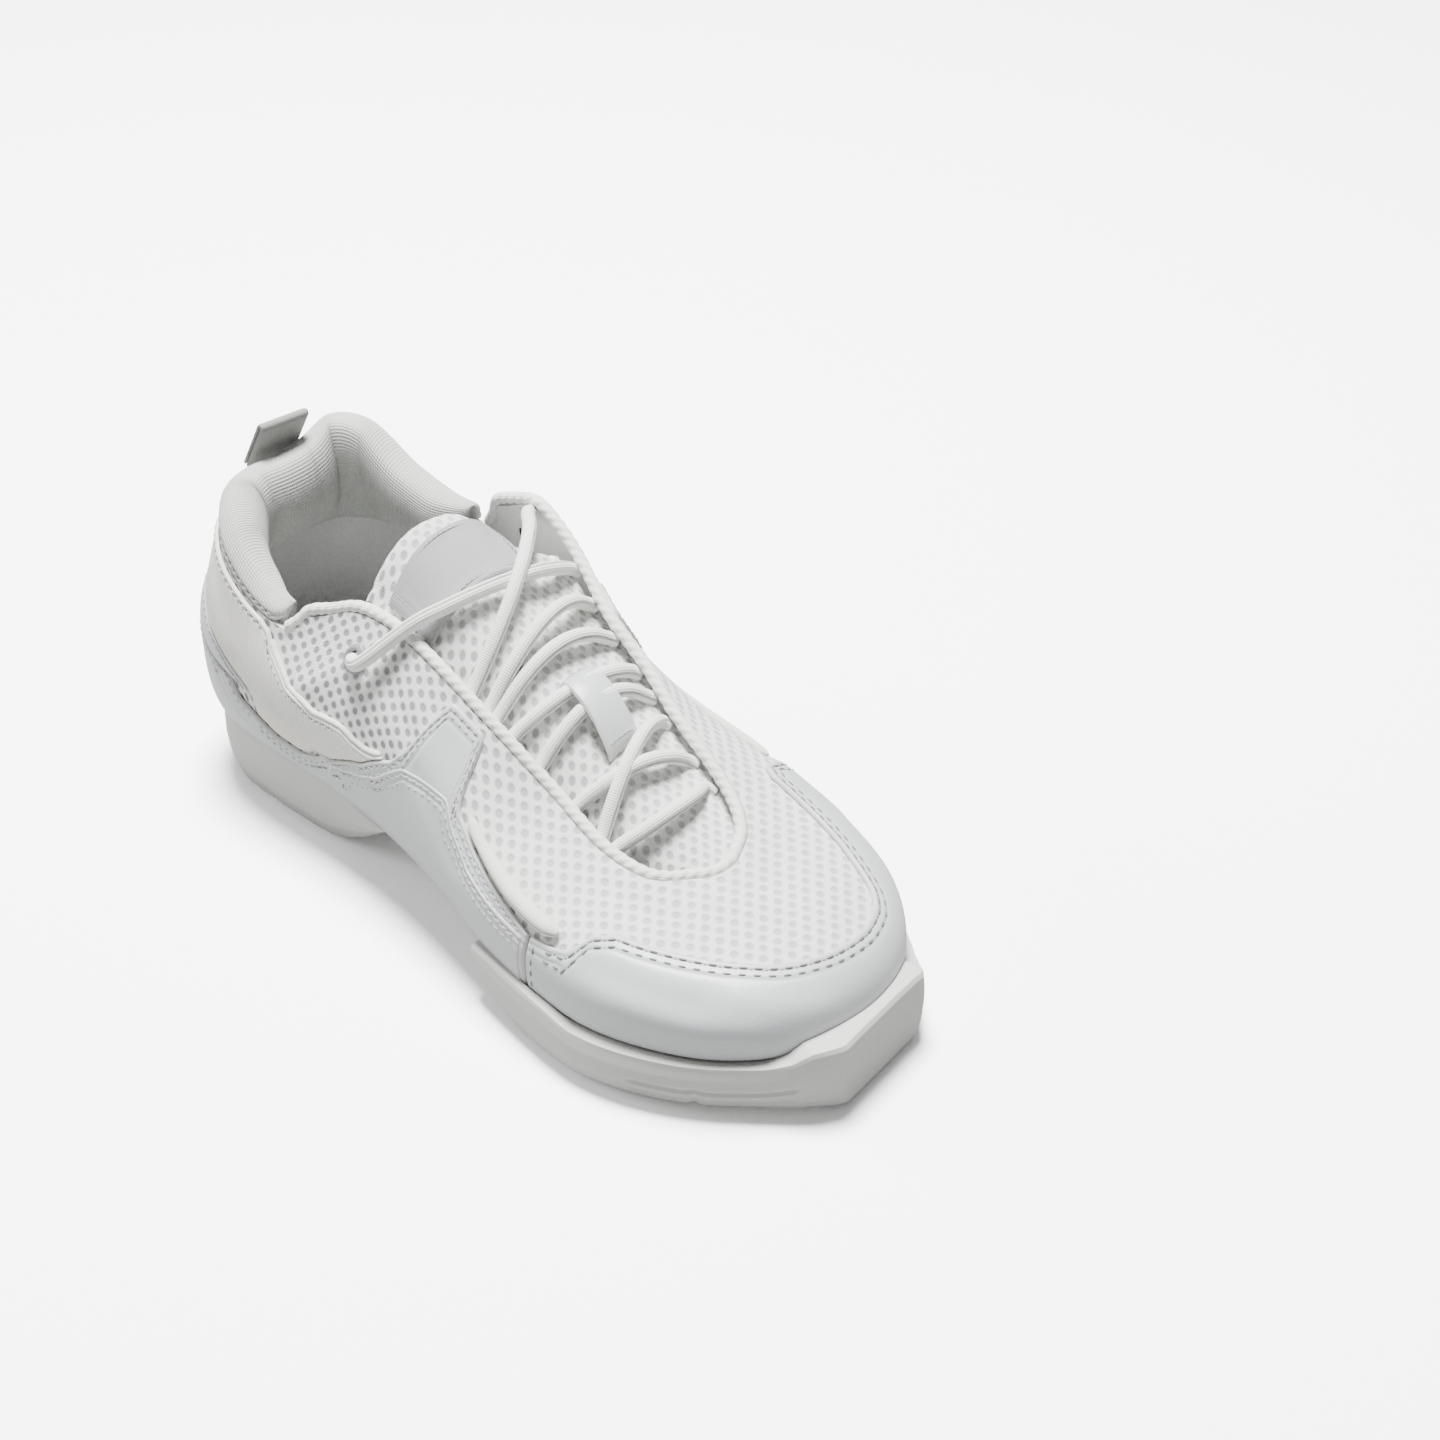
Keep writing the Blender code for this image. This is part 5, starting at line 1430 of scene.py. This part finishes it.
def build_collar():
    """The padded knitted collar round the ankle."""
    v, inward, rise = closed_curve(COLLAR_SECTION, 6).T
    around = np.concatenate(([0.0], np.cumsum(np.hypot(np.diff(v) * V_METRES, np.diff(inward)))))
    first, last = COLLAR_ENDS
    rings, uv = [], []
    for u in np.linspace(first, last, 240):
        near = min(u - first, last - u)
        fade = 1.0 - 0.45 * float(smooth_step(-near, -0.9, 0.0))
        depth = np.where(inward > 0.0025, 0.0025 + (inward - 0.0025) * fade, inward)
        swell = 0.0005 * np.sin(2.1 * u) * smooth_step(depth, 0.004, 0.010)
        groove = 0.0005 * np.exp(-(((v - COLLAR_SEAM) / 0.012) ** 2)) * (depth < 0.0012)
        point = skin(u, v, relief(u, v) * (depth < 0.002) - depth - groove + swell)
        point[:, 2] += rise * fade
        heart = point[len(point) // 4]
        point = heart + (point - heart) * max(rolled(near, 0.30), 0.04)
        rings.append(point)
        uv.append(np.stack((np.full(len(v), u * U_METRES), around), axis=-1))
    collar = finished(loft("collar_pad", rings, KNIT, uv=uv), "knitted lining", "collar")
    u = np.linspace(first + 0.25, last - 0.25, 900)
    row = (skin(u, COLLAR_SEAM, 0.00010 + relief(u, COLLAR_SEAM)), normal_at(u, COLLAR_SEAM))
    sewn("collar_stitches", [row], 0.0028, width=0.00026)


def strands(s, turn):
    """Outline of a rope of three strands, as a share of its radius."""
    return 0.90 + 0.24 * np.abs(np.cos(1.5 * (turn + 2.0 * math.pi * s / ROPE_TWIST)))


def rim_points(stations):
    """Middle of the upper's wall just above its cut edge."""
    return [skin(u, rim_at(u) + 0.012, -0.5 * WALL) for u in stations]


def build_piping():
    """The twisted cord round the throat."""
    last, first = PIPING_ENDS
    stations = np.concatenate(([first], np.arange(5.5, last - 0.3, 0.5), [last]))
    path = rim_points((4.58, 4.70, 4.84)) + [edge_point(u) for u in stations]
    path += rim_points((ROUND - 5.76, ROUND - 5.63, ROUND - 5.50))
    rope, _ = tube("throat_rope", path, PIPING, ROPE, sides=24, spacing=0.0005, shape=strands)
    finished(rope, "off-white cord", "throat_piping")


def build_bindings():
    """A fine rope over the ribbed panel's edge on each side."""
    for name, side in (("quarter_binding_outer", 1.0), ("quarter_binding_inner", -1.0)):
        u = side * np.linspace(4.42, 7.42, 40)
        path = skin(u, quarter_edges(u)[1] + 0.012, 0.0005)
        finished(tube(name, path, 0.00085, ROPE, shape=strands)[0], "off-white cord")


def build_side_cords():
    """The soft cord under the mesh of each side, fuller on the outer one."""
    u, v, size = np.array(CORD).T
    sides = (("outer", "side_cord_lateral", u, 1.25), ("inner", "side_cord_medial", ROUND - u, 0.7))
    for side, node, around, swell in sides:
        path = skin(around, v, LACE * size * min(swell, 1.0) ** 3 + GAP)
        puff, _ = tube(f"{side}_side_cord", path, swell * LACE * size, PUFF, sides=20, ends=0.004)
        finished(puff, "off-white cord", node)


def build_eyelets():
    """A rolled grey ring round each lace hole."""
    radius, out = closed_curve(EYELET_SECTION, 4).T
    step = 0.01
    names = (("eyelet_ring_outer", "eyelet_lateral"), ("eyelet_ring_inner", "eyelet_medial"))
    for (name, node), (u, v) in zip(names, EYELETS):
        to_u = (skin_on_last(u + step, v) - skin_on_last(u - step, v)) / (2.0 * step)
        to_v = (skin_on_last(u, v + step) - skin_on_last(u, v - step)) / (2.0 * step)
        side = unit(to_u)
        up = unit(to_v - side * np.dot(side, to_v))
        rings = []
        for turn in np.arange(56) / 56.0 * 2.0 * np.pi:
            dv = radius * np.sin(turn) / np.dot(to_v, up)
            du = (radius * np.cos(turn) - dv * np.dot(to_v, side)) / np.dot(to_u, side)
            rings.append(skin(u + du, v + dv, out + relief(u, v)))
        finished(loft(name, rings, RING, closed=True), "grey satin", node)


def hairpin(top, half, steps):
    """A line up, over a round fold of this half width and down again, as height and side."""
    points = [(z, -half) for z in np.linspace(0.0, top, 22)]
    for turn in np.linspace(0.0, math.pi, steps)[1:-1]:
        points.append((top + half * math.sin(turn), -half * math.cos(turn)))
    return points + [(z, half) for z in np.linspace(top, 0.0, 22)]


def build_pull_loop():
    """Grey webbing folded over at its top, at the heel of the collar."""
    foot = [(PULL_LOOP[0][0] - 0.0030, 0.0, PULL_LOOP[0][1] - 0.0052)]
    middle, _ = dense_path(foot + [(x, 0.0, z) for x, z, thick in PULL_LOOP], 0.0006)
    start = middle[0]
    way = unit(middle[-1] - start)
    across_it = np.array((-way[2], 0.0, way[0]))
    top = float(np.dot(middle[-1] - start, way)) - LOOP_SHEET
    outline = np.array(hairpin(top, LOOP_GAP + LOOP_SHEET, 14) + hairpin(top - 0.0002, LOOP_GAP, 8)[::-1])
    travel = run_along(outline)
    rings, uv = [], []
    for y in np.linspace(*LOOP_SIDES, 40):
        off = min(y - LOOP_SIDES[0], LOOP_SIDES[1] - y)
        thin = 1.0 - 0.25 * (1.0 - min(off / 0.0008, 1.0)) ** 2
        ring = start + outline[:, :1] * way - outline[:, 1:] * thin * across_it
        ring[:, 1] += y
        ring[:, 0] += 0.12 * y
        rings.append(ring)
        uv.append(np.stack((travel, np.full(len(travel), y)), axis=-1))
    finished(loft("pull_loop_webbing", rings, WEBBING, uv=uv), "grey satin", "pull_loop")


def area_light(name, place, aim, size, power):
    data = bpy.data.lights.new(name, "AREA")
    data.shape = "DISK"
    data.size = size
    data.energy = power
    light = placed(name, data)
    light.location = place
    light.rotation_euler = (Vector(place) - Vector(aim)).to_track_quat("Z", "Y").to_euler()


FLOOR_TONE = 0.38  # how pale the floor is in what it reflects onto the shoe
FLOOR_SEEN = 1.7  # how pale it is to the camera, burnt out as in the photograph
ROOM_LIGHT = 0.10
# Each lamp's place, what it aims at, how far across it is and its power in watts
LAMPS = {
    "key": ((-0.25, 0.20, 1.7), (0.0, 0.0, 0.03), 0.65, 128.0),
    "fill": ((1.1, -1.3, 1.0), (0.0, 0.0, 0.03), 1.2, 6.0),
    "side": ((-1.5, -0.9, 0.7), (0.0, 0.0, 0.05), 0.8, 17.0),
}


def set_studio():
    """A plain white floor under a wide soft light."""
    mesh = bpy.data.meshes.new("floor")
    corners = [(-4.0, -4.0, 0.0), (4.0, -4.0, 0.0), (4.0, 4.0, 0.0), (-4.0, 4.0, 0.0)]
    mesh.from_pydata(corners, [], [(0, 1, 2, 3)])
    finish = bpy.data.materials.new("plain white floor")
    finish.use_nodes = True
    nodes = Nodes(finish.node_tree)
    nodes.tree.nodes.remove(nodes.tree.nodes["Principled BSDF"])
    sight = nodes.node("ShaderNodeLightPath").outputs["Is Camera Ray"]
    mixed = nodes.node("ShaderNodeMixShader")
    nodes.feed(mixed.inputs[0], sight)
    for socket, tone in zip(mixed.inputs[1:], (FLOOR_TONE, FLOOR_SEEN)):
        diffuse = nodes.node("ShaderNodeBsdfDiffuse")
        diffuse.inputs["Color"].default_value = (tone, tone, tone, 1.0)
        nodes.feed(socket, diffuse.outputs[0])
    nodes.feed(nodes.tree.nodes["Material Output"].inputs["Surface"], mixed.outputs[0])
    mesh.materials.append(finish)
    placed("floor", mesh)
    world = bpy.data.worlds.new("soft white room")
    bpy.context.scene.world = world
    world.use_nodes = True
    background = world.node_tree.nodes["Background"]
    background.inputs["Color"].default_value = (1.0, 1.0, 1.0, 1.0)
    background.inputs["Strength"].default_value = ROOM_LIGHT
    for name, lamp in LAMPS.items():
        area_light(name, *lamp)


def dress_frame():
    """Finishes for the solids that are shown as they are."""
    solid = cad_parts["arch_bottom"]
    solid.data.materials.clear()
    solid.data.materials.append(LEATHER)


build_laces()
build_unit("heel_unit_rubber", "heel_sole", HEEL_UNIT, False)
build_unit("forefoot_unit_rubber", "forefoot_sole", FORE_UNIT, True)
build_upper()
build_insole()
build_panels()
build_stitches()
build_collar()
build_piping()
build_bindings()
build_side_cords()
build_eyelets()
build_tongue()
build_pull_loop()
dress_frame()
set_studio()
